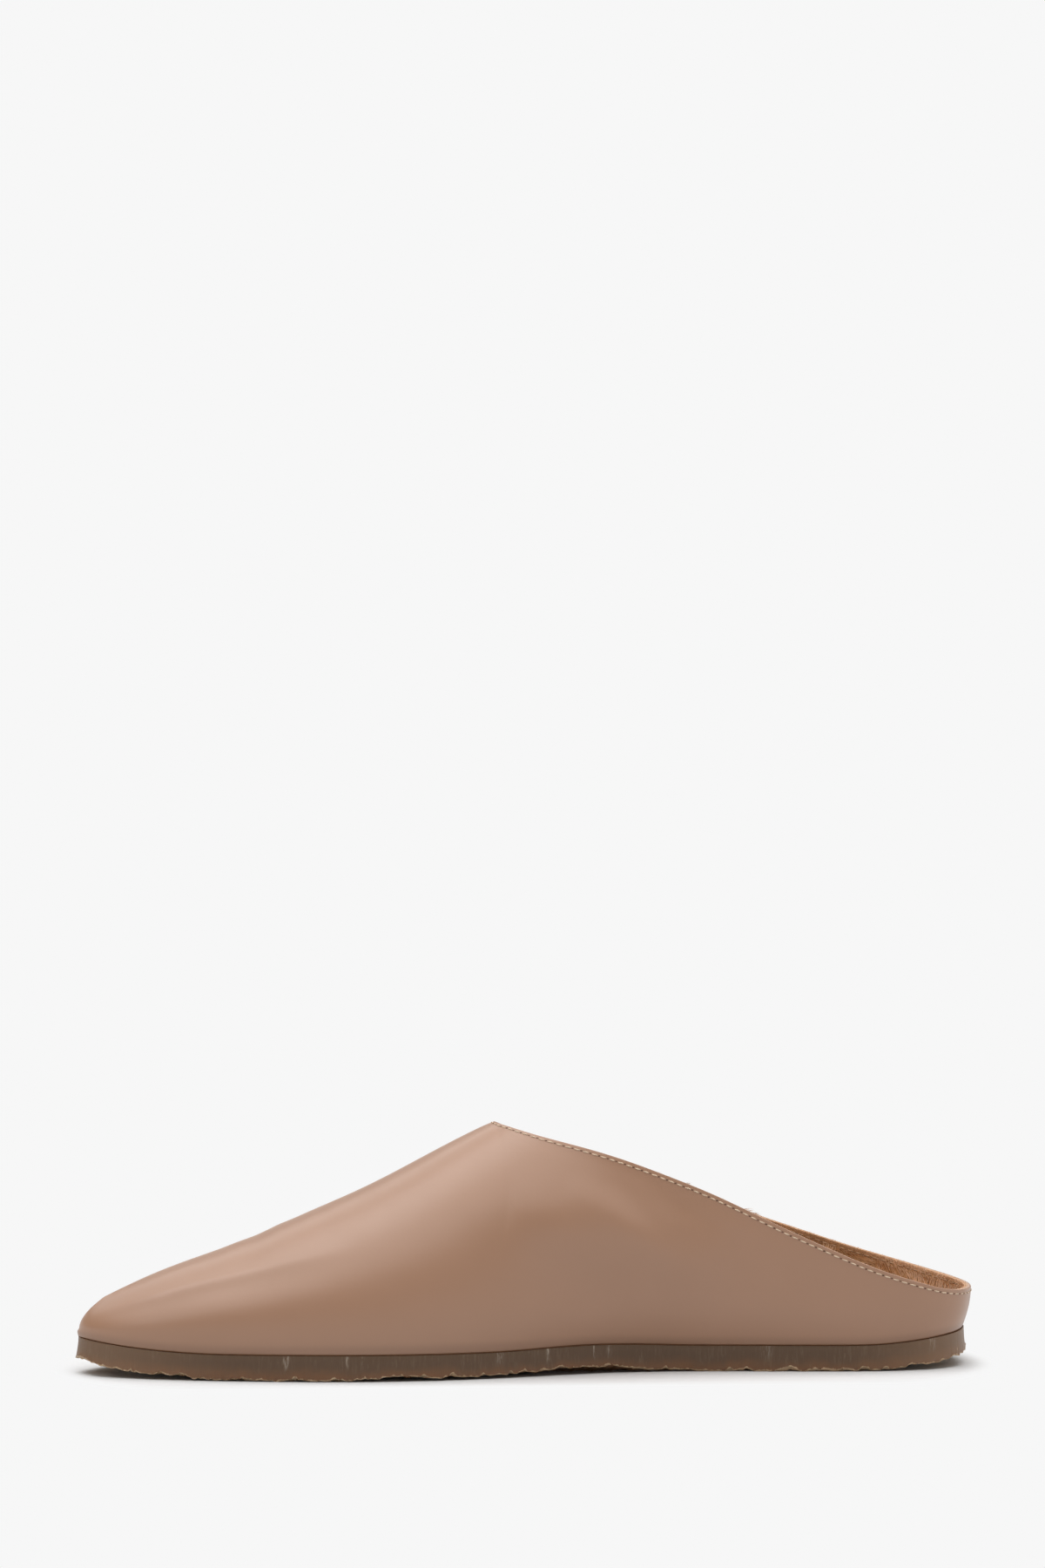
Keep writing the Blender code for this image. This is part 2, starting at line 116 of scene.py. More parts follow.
def add_node(
    tree: bpy.types.NodeTree,
    kind: str,
    settings: dict | None = None,
    inputs: dict | None = None,
    output: str | None = None,
    stops: tuple[tuple[float, str], ...] = (),
) -> bpy.types.NodeSocket | None:
    """Adds a node with its settings and links.

    Args:
        tree: The node tree it goes into.
        kind: The node's type name.
        settings: Its properties by name.
        inputs: A value, or another node's socket, by input name or number.
        output: The name of the output to hand back, or None for the first in use.
        stops: Places and hex colours in rising order, where the node is a colour ramp.

    Returns:
        The chosen output socket, or None where the node has no output.
    """
    node = tree.nodes.new(kind)
    for name, value in (settings or {}).items():
        setattr(node, name, value)
    if stops:
        # A new ramp already has its two ends.
        ramp = node.color_ramp.elements
        for end in (0, -1):
            ramp[end].position, ramp[end].color = stops[end][0], linear(stops[end][1])
        for place, colour in stops[1:-1]:
            ramp.new(place).color = linear(colour)
    for key, value in (inputs or {}).items():
        if isinstance(key, str):
            socket = next(one for one in node.inputs if one.name == key and one.enabled)
        else:
            socket = node.inputs[key]
        if isinstance(value, bpy.types.NodeSocket):
            tree.links.new(value, socket)
        else:
            socket.default_value = value
    if output is not None:
        return node.outputs[output]
    return next((one for one in node.outputs if one.enabled), None)


def new_material(name: str) -> tuple[bpy.types.Material, bpy.types.NodeTree]:
    """Starts an empty node material.

    Args:
        name: The material's name.

    Returns:
        The material and its node tree.
    """
    material = bpy.data.materials.new(name)
    material.use_nodes = True
    material.node_tree.nodes.clear()
    return material, material.node_tree


def add_object(name: str, data: bpy.types.ID) -> bpy.types.Object:
    """Puts a new object into the scene.

    Args:
        name: The object's name.
        data: The mesh, curve, light or camera that it holds.

    Returns:
        The object.
    """
    made = bpy.data.objects.new(name, data)
    bpy.context.scene.collection.objects.link(made)
    return made


def read(
    rows: bpy.types.bpy_prop_collection, name: str, width: int = 1, kind: type = np.float32
) -> Array:
    """Reads one property of all the vertices, triangles or faces of a mesh.

    Args:
        rows: The vertices, triangles, faces or values of an attribute.
        name: The property's name.
        width: How many numbers it has.
        kind: The kind of number.

    Returns:
        One number for each, or one row for each where the width is more than 1.
    """
    flat = np.empty(len(rows) * width, kind)
    rows.foreach_get(name, flat)
    return flat.reshape(-1, width) if width > 1 else flat


def points_of(mesh: bpy.types.Mesh) -> Array:
    """Reads the vertices of a mesh, one row each."""
    return read(mesh.vertices, "co", 3).astype(float)


def normals_of(mesh: bpy.types.Mesh) -> Array:
    """Reads the vertex normals of a mesh, one row each."""
    return read(mesh.vertex_normals, "vector", 3).astype(float)


def set_points(mesh: bpy.types.Mesh, points: Array) -> None:
    """Moves the vertices of a mesh.

    Args:
        mesh: The mesh.
        points: Its new points, in the same order.
    """
    mesh.vertices.foreach_set("co", points.astype(np.float32).ravel())
    mesh.update()


def store(mesh: bpy.types.Mesh, name: str, values: Array) -> None:
    """Keeps one number a vertex on a mesh, for its material to read.

    Args:
        mesh: The mesh.
        name: The attribute's name.
        values: The numbers, in the order of the vertices.
    """
    attribute = mesh.attributes.get(name) or mesh.attributes.new(name, "FLOAT", "POINT")
    attribute.data.foreach_set("value", values.astype(np.float32))


def wander(points: Array, wavelength: float, seed: float) -> Array:
    """Smooth noise from -1 to 1 that drifts over a surface.

    Args:
        points: The places to read it at.
        wavelength: The rough distance from one swell to the next.
        seed: Moves the pattern, so that two of them differ.

    Returns:
        One number for each point.
    """
    shifted = points / wavelength + np.array([seed, 1.7 * seed, 0.3 * seed])
    return np.array([noise.noise(Vector(place)) for place in shifted])


def layered(points: Array, layers: Layers) -> Array:
    """Adds up layers of drifting noise.

    Args:
        points: The places to read them at.
        layers: The height, wavelength and seed of each.

    Returns:
        One number for each point.
    """
    return sum(height * wander(points, wavelength, seed) for height, wavelength, seed in layers)


def smooth_step(values: Array, start: float, end: float) -> Array:
    """Rises from 0 to 1 with level ends.

    Args:
        values: The numbers to read it at.
        start: Where it leaves 0.
        end: Where it reaches 1.

    Returns:
        One number for each value.
    """
    share = np.clip((values - start) / (end - start), 0, 1)
    return share * share * (3 - 2 * share)


def distance_to(points: Array, line: Array) -> tuple[Array, Array]:
    """Measures how far points are from a densely spaced line.

    Args:
        points: The points.
        line: The line's points.

    Returns:
        The distances, and the number of the nearest point of the line.
    """
    tree = KDTree(len(line))
    for number, place in enumerate(line):
        tree.insert(Vector(place), number)
    tree.balance()
    found = [tree.find(Vector(place)) for place in points]
    return np.array([hit[2] for hit in found]), np.array([hit[1] for hit in found])


def spaced_line(line: Array, step: float, closed: bool = True) -> Array:
    """Reads a line again at even steps.

    Args:
        line: Its points.
        step: The wanted distance between points, which is rounded to fit.
        closed: Whether its end meets its start.

    Returns:
        The evenly spaced points.
    """
    whole = np.vstack([line, line[:1]]) if closed else line
    travel = np.concatenate([[0], np.cumsum(np.linalg.norm(np.diff(whole, axis=0), axis=1))])
    count = max(2, round(travel[-1] / step))
    wanted = np.linspace(0, travel[-1], count, endpoint=not closed)
    return np.column_stack([np.interp(wanted, travel, whole[:, axis]) for axis in range(3)])


@contextlib.contextmanager
def editing(piece: bpy.types.Object) -> Iterator[bpy.types.Mesh]:
    """Opens one piece in edit mode with nothing selected, and closes it again.

    Args:
        piece: The mesh object.

    Yields:
        Its mesh.
    """
    bpy.ops.object.select_all(action="DESELECT")
    piece.select_set(True)
    bpy.context.view_layer.objects.active = piece
    bpy.ops.object.mode_set(mode="EDIT")
    bpy.ops.mesh.select_mode(type="VERT")
    bpy.ops.mesh.select_all(action="DESELECT")
    yield piece.data
    bpy.ops.object.mode_set(mode="OBJECT")
    bpy.ops.object.select_all(action="DESELECT")


def copy_of_node(node: str, name: str) -> bpy.types.Object:
    """Copies a CAD node as a clean mesh of four-sided faces.

    Args:
        node: The CAD node.
        name: The new piece's name.

    Returns:
        The new piece.
    """
    mesh = frame["nodes"][node].data.copy()
    mesh.name = name
    mesh.materials.clear()
    piece = add_object(name, mesh)
    with editing(piece):
        bpy.ops.mesh.select_all(action="SELECT")
        bpy.ops.mesh.remove_doubles(threshold=0.001 * MM)
        bpy.ops.mesh.customdata_custom_splitnormals_clear()
        bpy.ops.mesh.tris_convert_to_quads(face_threshold=math.pi, shape_threshold=math.pi)
        bpy.ops.mesh.mark_sharp(clear=True)
    mesh.shade_smooth()
    return piece


def apply_modifier(piece: bpy.types.Object, kind: str, **settings: object) -> None:
    """Adds a modifier to a piece and applies it.

    Args:
        piece: The piece.
        kind: The modifier's type.
        **settings: Its properties.
    """
    modifier = piece.modifiers.new(kind, kind)
    for name, value in settings.items():
        setattr(modifier, name, value)
    bpy.context.view_layer.objects.active = piece
    bpy.ops.object.modifier_apply(modifier=modifier.name)


def select_faces(mesh: bpy.types.Mesh, wanted: set[int]) -> None:
    """Selects faces of the mesh in edit mode, and nothing else.

    Args:
        mesh: The mesh.
        wanted: The faces' numbers.
    """
    bpy.ops.mesh.select_mode(type="FACE")
    shape = bmesh.from_edit_mesh(mesh)
    for face in shape.faces:
        face.select_set(face.index in wanted)
    shape.select_flush_mode()
    bmesh.update_edit_mesh(mesh)


def select_edges(mesh: bpy.types.Mesh, wanted: set[int]) -> None:
    """Selects edges of the mesh in edit mode, and nothing else.

    Args:
        mesh: The mesh.
        wanted: The edges' numbers.
    """
    bpy.ops.mesh.select_mode(type="EDGE")
    shape = bmesh.from_edit_mesh(mesh)
    for edge in shape.edges:
        edge.select_set(edge.index in wanted)
    bmesh.update_edit_mesh(mesh)


def walk(edges: list[tuple[int, int]]) -> list[int]:
    """Puts the edges of one closed line in order.

    Args:
        edges: Pairs of vertex numbers.

    Returns:
        The vertex numbers in turn round the line.
    """
    near: dict[int, list[int]] = {}
    for first, second in edges:
        near.setdefault(first, []).append(second)
        near.setdefault(second, []).append(first)
    start = min(near)
    line, last, here = [start], None, start
    while True:
        ahead = next(one for one in near[here] if one != last)
        if ahead == start:
            return line
        line.append(ahead)
        last, here = here, ahead


def joined_copies(name: str, shape: bpy.types.Object, places: list[Matrix]) -> bpy.types.Object:
    """Joins many copies of one small shape into a single piece, and removes the shape.

    Args:
        name: The new piece's name.
        shape: The small shape, modelled round the origin.
        places: Where each copy goes.

    Returns:
        The joined piece.
    """
    base = points_of(shape.data)
    faces = [tuple(face.vertices) for face in shape.data.polygons]
    rows = [base @ np.array(place.to_3x3()).T + np.array(place.translation) for place in places]
    every = [
        tuple(vertex + copy * len(base) for vertex in face)
        for copy in range(len(places))
        for face in faces
    ]
    mesh = bpy.data.meshes.new(name)
    mesh.from_pydata(np.vstack(rows).tolist(), [], every)
    mesh.shade_smooth()
    bpy.data.objects.remove(shape)
    return add_object(name, mesh)


def place_piece(piece: bpy.types.Object, slot: str, *nodes: str) -> None:
    """Ties a finished piece to the frame and reports it.

    Args:
        piece: The piece.
        slot: The record's material slot that it would take its finish from; it is not used.
        *nodes: The CAD nodes that it stands for.
    """
    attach(piece, BODY)
    if nodes:
        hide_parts(*nodes)
    triangles = sum(len(face.vertices) - 2 for face in piece.data.polygons)
    LOG.info("%s: %d triangles", piece.name, triangles)


# --------------------------------------------------------------------------------------------
# Finishes
# --------------------------------------------------------------------------------------------


@dataclass(frozen=True)
class SatinCalf:
    """Full-grain calf, drum dyed and plated: a soft satin glow and almost no visible grain."""

    colour: str = "#9a745a"
    light: str = "#a17a61"
    # The foot colour is painted shade on the last few millimetres of leather over the sole.
    foot: str = "#7d5c47"
    roughness: float = 0.42
    grain: float = 0.9 * MM
    pull: float = 6 * MM
    cloud: float = 38 * MM
    sole_shade_reach: float = 3.2 * MM

    def build(self) -> bpy.types.Material:
        """Makes the material.

        Returns:
            The material.
        """
        material, tree = new_material("satin_calf")
        place = add_node(tree, "ShaderNodeTexCoord", output="Object")
        cloud = add_node(
            tree,
            "ShaderNodeTexNoise",
            inputs={"Vector": place, "Scale": 1 / self.cloud, "Detail": 3.0, "Roughness": 0.55},
        )
        # Dye takes unevenly in broad clouds, a shade apart.
        dyed = add_node(
            tree,
            "ShaderNodeMix",
            {"data_type": "RGBA"},
            {"Factor": cloud, "A": linear(self.colour), "B": linear(self.light)},
        )
        # Painted shade: the last millimetres over the sole are darker, where the leather turns
        # under to meet it.
        height = add_node(tree, "ShaderNodeAttribute", {"attribute_name": "sole_gap"}, output="Fac")
        near_sole = add_node(
            tree,
            "ShaderNodeMapRange",
            {"interpolation_type": "SMOOTHERSTEP"},
            {"Value": height, "From Max": self.sole_shade_reach, "To Min": 0.45, "To Max": 0.0},
        )
        base = add_node(
            tree,
            "ShaderNodeMix",
            {"data_type": "RGBA"},
            {"Factor": near_sole, "A": dyed, "B": linear(self.foot)},
        )
        # Pores are finer than the eye sees at arm's length, so they are drawn a little coarser.
        pores = add_node(
            tree,
            "ShaderNodeTexVoronoi",
            {"feature": "SMOOTH_F1"},
            {"Vector": place, "Scale": 1 / self.grain, "Smoothness": 0.6},
            "Distance",
        )
        pull = add_node(
            tree,
            "ShaderNodeTexNoise",
            inputs={"Vector": place, "Scale": 1 / self.pull, "Detail": 4.0, "Roughness": 0.5},
        )
        relief = add_node(
            tree,
            "ShaderNodeMath",
            {"operation": "MULTIPLY_ADD"},
            {0: pull, 1: 3.0, 2: pores},
        )
        bump = add_node(
            tree,
            "ShaderNodeBump",
            inputs={"Height": relief, "Strength": 0.07, "Distance": 0.10 * MM},
        )
        sheen_break = add_node(
            tree,
            "ShaderNodeMapRange",
            inputs={
                "Value": pull,
                "To Min": self.roughness - 0.04,
                "To Max": self.roughness + 0.05,
            },
        )
        surface = add_node(
            tree,
            "ShaderNodeBsdfPrincipled",
            inputs={
                "Base Color": base,
                "Roughness": sheen_break,
                "IOR": 1.5,
                "Coat Weight": 0.4,
                "Coat Roughness": 0.38,
                "Coat IOR": 1.5,
                "Normal": bump,
                "Coat Normal": bump,
            },
        )
        add_node(tree, "ShaderNodeOutputMaterial", inputs={"Surface": surface})
        return material


@dataclass(frozen=True)
class CutEdge:
    """The raw edge of calf and lining skin: matt and fibrous, greyer outside and tan inside."""

    leather: str = "#b29581"
    lining: str = "#b48d6d"
    fibre: float = 0.5 * MM

    def build(self) -> bpy.types.Material:
        """Makes the material.

        Returns:
            The material.
        """
        material, tree = new_material("cut_leather_edge")
        place = add_node(tree, "ShaderNodeTexCoord", output="Object")
        fibres = add_node(
            tree,
            "ShaderNodeTexNoise",
            inputs={"Vector": place, "Scale": 1 / self.fibre, "Detail": 3.0, "Roughness": 0.7},
        )
        across = add_node(tree, "ShaderNodeAttribute", {"attribute_name": "across"}, output="Fac")
        ragged = add_node(
            tree,
            "ShaderNodeMath",
            {"operation": "MULTIPLY_ADD"},
            {0: fibres, 1: 0.25, 2: across},
        )
        layer = add_node(
            tree,
            "ShaderNodeMapRange",
            {"interpolation_type": "SMOOTHSTEP"},
            {"Value": ragged, "From Min": 0.62, "From Max": 0.80},
        )
        base = add_node(
            tree,
            "ShaderNodeMix",
            {"data_type": "RGBA"},
            {"Factor": layer, "A": linear(self.leather), "B": linear(self.lining)},
        )
        bump = add_node(
            tree,
            "ShaderNodeBump",
            inputs={"Height": fibres, "Strength": 0.35, "Distance": 0.15 * MM},
        )
        surface = add_node(
            tree,
            "ShaderNodeBsdfPrincipled",
            inputs={"Base Color": base, "Roughness": 0.8, "Normal": bump},
        )
        add_node(tree, "ShaderNodeOutputMaterial", inputs={"Surface": surface})
        return material


@dataclass(frozen=True)
class LiningSkin:
    """The lining's own skin: smooth tan at the folded top, and dark root colour under the hair."""

    band: str = "#b78b69"
    roots: str = "#b07e56"
    band_depth: float = 1.75 * MM
    band_fade: float = 0.5 * MM
    mottle: float = 1.6 * MM

    def build(self) -> bpy.types.Material:
        """Makes the material.

        Returns:
            The material.
        """
        material, tree = new_material("lining_skin")
        place = add_node(tree, "ShaderNodeTexCoord", output="Object")
        mottle = add_node(
            tree,
            "ShaderNodeTexNoise",
            inputs={"Vector": place, "Scale": 1 / self.mottle, "Detail": 4.0, "Roughness": 0.6},
        )
        depth = add_node(tree, "ShaderNodeAttribute", {"attribute_name": "rim_gap"}, output="Fac")
        below = add_node(
            tree,
            "ShaderNodeMapRange",
            {"interpolation_type": "SMOOTHSTEP"},
            {
                "Value": depth,
                "From Min": self.band_depth,
                "From Max": self.band_depth + self.band_fade,
            },
        )
        skin = add_node(
            tree,
            "ShaderNodeMix",
            {"data_type": "RGBA"},
            {"Factor": below, "A": linear(self.band), "B": linear(self.roots)},
        )
        shade = add_node(
            tree,
            "ShaderNodeMapRange",
            inputs={"Value": mottle, "To Min": 0.78, "To Max": 1.2},
        )
        base = add_node(
            tree,
            "ShaderNodeVectorMath",
            {"operation": "SCALE"},
            {"Vector": skin, "Scale": shade},
        )
        bump = add_node(
            tree,
            "ShaderNodeBump",
            inputs={"Height": mottle, "Strength": 0.4, "Distance": 0.2 * MM},
        )
        surface = add_node(
            tree,
            "ShaderNodeBsdfPrincipled",
            inputs={"Base Color": base, "Roughness": 0.75, "Normal": bump},
        )
        add_node(tree, "ShaderNodeOutputMaterial", inputs={"Surface": surface})
        return material


@dataclass(frozen=True)
class ClippedHair:
    """Dyed and clipped hair: dark tan at the roots, warm tan along it, pale at the clipped tips."""

    root: str = "#905f3b"
    middle: str = "#c29065"
    tip: str = "#d2a77c"
    # Painted light and wear: the pale colour of the palest hairs, which at the heel stands in for
    # the lit hair there.
    worn_and_lit: str = "#dcc2aa"

    def build(self) -> bpy.types.Material:
        """Makes the material.

        Returns:
            The material.
        """
        material, tree = new_material("clipped_hair")
        along = add_node(tree, "ShaderNodeAttribute", {"attribute_name": "along"}, output="Fac")
        tone = add_node(tree, "ShaderNodeAttribute", {"attribute_name": "tone"}, output="Fac")
        shade = add_node(
            tree,
            "ShaderNodeValToRGB",
            inputs={"Fac": along},
            stops=((0.0, self.root), (0.45, self.middle), (1.0, self.tip)),
        )
        # The palest hairs take a pale colour: some are pale at random, and at the heel it is
        # painted light for the lit hair there, with some wear.
        pale_share = add_node(
            tree,
            "ShaderNodeMapRange",
            inputs={"Value": tone, "From Min": 0.74, "From Max": 1.0, "To Max": 0.5},
        )
        paled = add_node(
            tree,
            "ShaderNodeMix",
            {"data_type": "RGBA"},
            {"Factor": pale_share, "A": shade, "B": linear(self.worn_and_lit)},
        )
        # Each hair's tone sets its brightness: it differs at random, and at the heel it is raised
        # by painted light.
        tone_and_light = add_node(
            tree,
            "ShaderNodeMapRange",
            inputs={"Value": tone, "To Min": 0.62, "To Max": 1.3},
        )
        base = add_node(
            tree,
            "ShaderNodeVectorMath",
            {"operation": "SCALE"},
            {"Vector": paled, "Scale": tone_and_light},
        )
        surface = add_node(
            tree,
            "ShaderNodeBsdfPrincipled",
            inputs={"Base Color": base, "Roughness": 0.9, "Specular IOR Level": 0.0},
        )
        add_node(tree, "ShaderNodeOutputMaterial", inputs={"Surface": surface})
        return material


@dataclass(frozen=True)
class CrepeRubber:
    """Natural crepe: brown and a little clear, cut clean on the side and torn at its foot, pale
    there from stretched rubber and a painted highlight.
    """

    body: str = "#5a4431"
    streak: str = "#84705a"
    low: str = "#785336"
    # The torn lip's pale colour: stretched rubber, and a painted highlight where its edge catches
    # the light.
    torn: str = "#bfa382"
    end: str = "#856850"
    scuff: str = "#c3b5a4"
    cloud: float = 10 * MM
    streak_width: float = 0.7 * MM
    scuff_width: float = 0.45 * MM
    fray: float = 1.3 * MM
    lip_depth: float = 0.5 * MM
    speck_gap: float = 5.5 * MM
    # Where the sanded heel and toe begin to pale and are palest along X, and how pale they get.
    ends: tuple[tuple[float, float, float], ...] = (
        (88 * MM, 132 * MM, 0.62),
        (-84 * MM, -132 * MM, 0.42),
    )
    # Where each group of scuffs lies along the inner side, half its width, and how strong it is.
    scuffs: tuple[tuple[float, float, float], ...] = (
        (-73.3 * MM, 1.4 * MM, 0.65),
        (-55.8 * MM, 0.7 * MM, 0.5),
        (-51.6 * MM, 0.9 * MM, 0.35),
        (-10.9 * MM, 2.0 * MM, 0.3),
        (3.6 * MM, 1.0 * MM, 0.7),
        (17.5 * MM, 0.6 * MM, 0.55),
        (22.1 * MM, 1.2 * MM, 0.28),
        (68.8 * MM, 2.6 * MM, 0.32),
        (118.5 * MM, 1.8 * MM, 0.3),
    )

    def build(self) -> bpy.types.Material:
        """Makes the material.

        Returns:
            The material.
        """
        material, tree = new_material("natural_crepe")
        place = add_node(tree, "ShaderNodeTexCoord", output="Object")
        up = add_node(tree, "ShaderNodeAttribute", {"attribute_name": "up"}, output="Fac")
        clouds = add_node(
            tree,
            "ShaderNodeTexNoise",
            inputs={"Vector": place, "Scale": 1 / self.cloud, "Detail": 5.0, "Roughness": 0.62},
        )
        streaks, streak_mask = self._streaks(tree, place, clouds)
        # Painted light: the thin foot of the side is painted warmer, as light coming through it
        # makes it look.
        warm = add_node(
            tree, "ShaderNodeMath", {"operation": "MULTIPLY_ADD"}, {0: clouds, 1: 0.9, 2: up}
        )
        low_mask = add_node(
            tree,
            "ShaderNodeMapRange",
            {"interpolation_type": "SMOOTHSTEP"},
            {"Value": warm, "From Min": 0.42, "From Max": 1.05, "To Min": 0.75, "To Max": 0.0},
        )
        base = linear(self.body)
        for mask, colour in (
            (streak_mask, self.streak),
            (low_mask, self.low),
            (self._ends(tree, place), self.end),
            (self._scuffed(tree, place, up), self.scuff),
            (self._torn(tree, place, up), self.torn),
        ):
            base = add_node(
                tree,
                "ShaderNodeMix",
                {"data_type": "RGBA"},
                {"Factor": mask, "A": base, "B": linear(colour)},
            )
        relief = add_node(
            tree, "ShaderNodeMath", {"operation": "MULTIPLY_ADD"}, {0: streaks, 1: 1.2, 2: clouds}
        )
        bump = add_node(
            tree,
            "ShaderNodeBump",
            inputs={"Height": relief, "Strength": 0.3, "Distance": 0.22 * MM},
        )
        surface = add_node(
            tree,
            "ShaderNodeBsdfPrincipled",
            inputs={
                "Base Color": base,
                "Roughness": 0.46,
                "IOR": 1.52,
                "Specular IOR Level": 0.35,
                "Subsurface Weight": 0.15,
                "Subsurface Radius": (1.0, 0.55, 0.3),
                "Subsurface Scale": 1.2 * MM,
                "Normal": bump,
            },
        )
        add_node(tree, "ShaderNodeOutputMaterial", inputs={"Surface": surface})
        return material

    def _streaks(
        self, tree: bpy.types.NodeTree, place: bpy.types.NodeSocket, clouds: bpy.types.NodeSocket
    ) -> tuple[bpy.types.NodeSocket, bpy.types.NodeSocket]:
        """Draws the thin upright streaks that the cutter drags down the side.

        Args:
            tree: The material's node tree.
            place: Object coordinates.
            clouds: A slow noise, which lets the streaks come and go.

        Returns:
            The streaks as a height, and as a mask.
        """
        upright = add_node(
            tree, "ShaderNodeMapping", inputs={"Vector": place, "Scale": (1.0, 1.0, 0.10)}
        )
        streaks = add_node(
            tree,
            "ShaderNodeTexNoise",
            inputs={
                "Vector": upright,
                "Scale": 1 / self.streak_width,
                "Detail": 3.0,
                "Roughness": 0.7,
            },
        )
        thin = add_node(
            tree,
            "ShaderNodeMapRange",
            inputs={"Value": streaks, "From Min": 0.50, "From Max": 0.85, "To Max": 0.9},
        )
        where = add_node(
            tree,
            "ShaderNodeMapRange",
            {"interpolation_type": "SMOOTHSTEP"},
            {"Value": clouds, "From Min": 0.40, "From Max": 0.66, "To Min": 0.10, "To Max": 0.85},
        )
        mask = add_node(tree, "ShaderNodeMath", {"operation": "MULTIPLY"}, {0: thin, 1: where})
        return streaks, mask

    def _ends(
        self, tree: bpy.types.NodeTree, place: bpy.types.NodeSocket
    ) -> bpy.types.NodeSocket:
        """Pales the rubber towards the toe and the heel, where its side was sanded.

        Args:
            tree: The material's node tree.
            place: Object coordinates.

        Returns:
            How much of the pale colour shows.
        """
        along = add_node(tree, "ShaderNodeSeparateXYZ", inputs={"Vector": place}, output="X")
        pale = 0.0
        for start, palest, most in self.ends:
            end = add_node(
                tree,
                "ShaderNodeMapRange",
                {"interpolation_type": "SMOOTHSTEP"},
                {"Value": along, "From Min": start, "From Max": palest, "To Max": most},
            )
            pale = add_node(tree, "ShaderNodeMath", {"operation": "ADD"}, {0: end, 1: pale})
        return pale

    def _scuffed(
        self, tree: bpy.types.NodeTree, place: bpy.types.NodeSocket, up: bpy.types.NodeSocket
    ) -> bpy.types.NodeSocket:
        """Scatters fine upright scuffs in a few small groups, high on the inner side.

        Args:
            tree: The material's node tree.
            place: Object coordinates.
            up: How high up the side a point is, from 0 to 1.

        Returns:
            How much of the scuffed colour shows.
        """
        along = add_node(tree, "ShaderNodeSeparateXYZ", inputs={"Vector": place}, output="X")
        inner = add_node(
            tree, "ShaderNodeMath", {"operation": "LESS_THAN"}, {0: along.node.outputs["Y"], 1: 0.0}
        )
        shown = add_node(
            tree,
            "ShaderNodeMapRange",
            {"interpolation_type": "SMOOTHSTEP"},
            {"Value": up, "From Min": 0.28, "From Max": 0.92},
        )
        shown = add_node(tree, "ShaderNodeMath", {"operation": "MULTIPLY"}, {0: shown, 1: inner})
        grouped = 0.0
        for middle, half_width, strength in self.scuffs:
            aside = add_node(
                tree, "ShaderNodeMath", {"operation": "SUBTRACT"}, {0: along, 1: middle}
            )
            aside = add_node(tree, "ShaderNodeMath", {"operation": "ABSOLUTE"}, {0: aside})
            group = add_node(
                tree,
                "ShaderNodeMapRange",
                {"interpolation_type": "SMOOTHSTEP"},
                {"Value": aside, "From Max": half_width, "To Min": strength, "To Max": 0.0},
            )
            grouped = add_node(
                tree, "ShaderNodeMath", {"operation": "MAXIMUM"}, {0: group, 1: grouped}
            )
        upright = add_node(
            tree, "ShaderNodeMapping", inputs={"Vector": place, "Scale": (1.0, 1.0, 0.12)}
        )
        scratches = add_node(
            tree,
            "ShaderNodeTexNoise",
            inputs={
                "Vector": upright,
                "Scale": 1 / self.scuff_width,
                "Detail": 2.0,
                "Roughness": 0.7,
            },
        )
        fine = add_node(
            tree,
            "ShaderNodeMapRange",
            inputs={"Value": scratches, "From Min": 0.47, "From Max": 0.62},
        )
        shown = add_node(tree, "ShaderNodeMath", {"operation": "MULTIPLY"}, {0: shown, 1: grouped})
        return add_node(tree, "ShaderNodeMath", {"operation": "MULTIPLY"}, {0: shown, 1: fine})

    def _torn(
        self, tree: bpy.types.NodeTree, place: bpy.types.NodeSocket, up: bpy.types.NodeSocket
    ) -> bpy.types.NodeSocket:
        """Pales the torn lip in broken dashes, for stretched rubber and a painted highlight on its
        edge, and pales a few specks above it.

        Args:
            tree: The material's node tree.
            place: Object coordinates.
            up: How high up the side a point is, from 0 to 1.

        Returns:
            How much of the torn colour shows.
        """
        inset = add_node(tree, "ShaderNodeAttribute", {"attribute_name": "inset"}, output="Fac")
        fray = add_node(
            tree,
            "ShaderNodeTexNoise",
            inputs={"Vector": place, "Scale": 1 / self.fray, "Detail": 3.0, "Roughness": 0.7},
        )
        reach = add_node(
            tree, "ShaderNodeMath", {"operation": "MULTIPLY_ADD"}, {0: fray, 1: 0.22, 2: -0.080}
        )
        lip_up = add_node(tree, "ShaderNodeMath", {"operation": "LESS_THAN"}, {0: up, 1: reach})
        lip_in = add_node(
            tree, "ShaderNodeMath", {"operation": "LESS_THAN"}, {0: inset, 1: self.lip_depth}
        )
        lip = add_node(tree, "ShaderNodeMath", {"operation": "MULTIPLY"}, {0: lip_up, 1: lip_in})
        upright = add_node(
            tree, "ShaderNodeMapping", inputs={"Vector": place, "Scale": (1.0, 1.0, 0.28)}
        )
        ragged = add_node(
            tree,
            "ShaderNodeVectorMath",
            {"operation": "SCALE"},
            {"Vector": fray.node.outputs["Color"], "Scale": 0.7 * MM},
        )
        scratched = add_node(
            tree, "ShaderNodeVectorMath", {"operation": "ADD"}, {0: upright, 1: ragged}
        )
        specks = add_node(
            tree,
            "ShaderNodeTexVoronoi",
            inputs={"Vector": scratched, "Scale": 1 / self.speck_gap},
            output="Distance",
        )
        speck_mask = add_node(
            tree,
            "ShaderNodeMapRange",
            inputs={
                "Value": specks,
                "From Min": 0.015,
                "From Max": 0.05,
                "To Min": 0.8,
                "To Max": 0.0,
            },
        )
        shown = add_node(tree, "ShaderNodeMath", {"operation": "MAXIMUM"}, {0: lip, 1: speck_mask})
        return add_node(tree, "ShaderNodeMath", {"operation": "MULTIPLY"}, {0: shown, 1: 0.75})


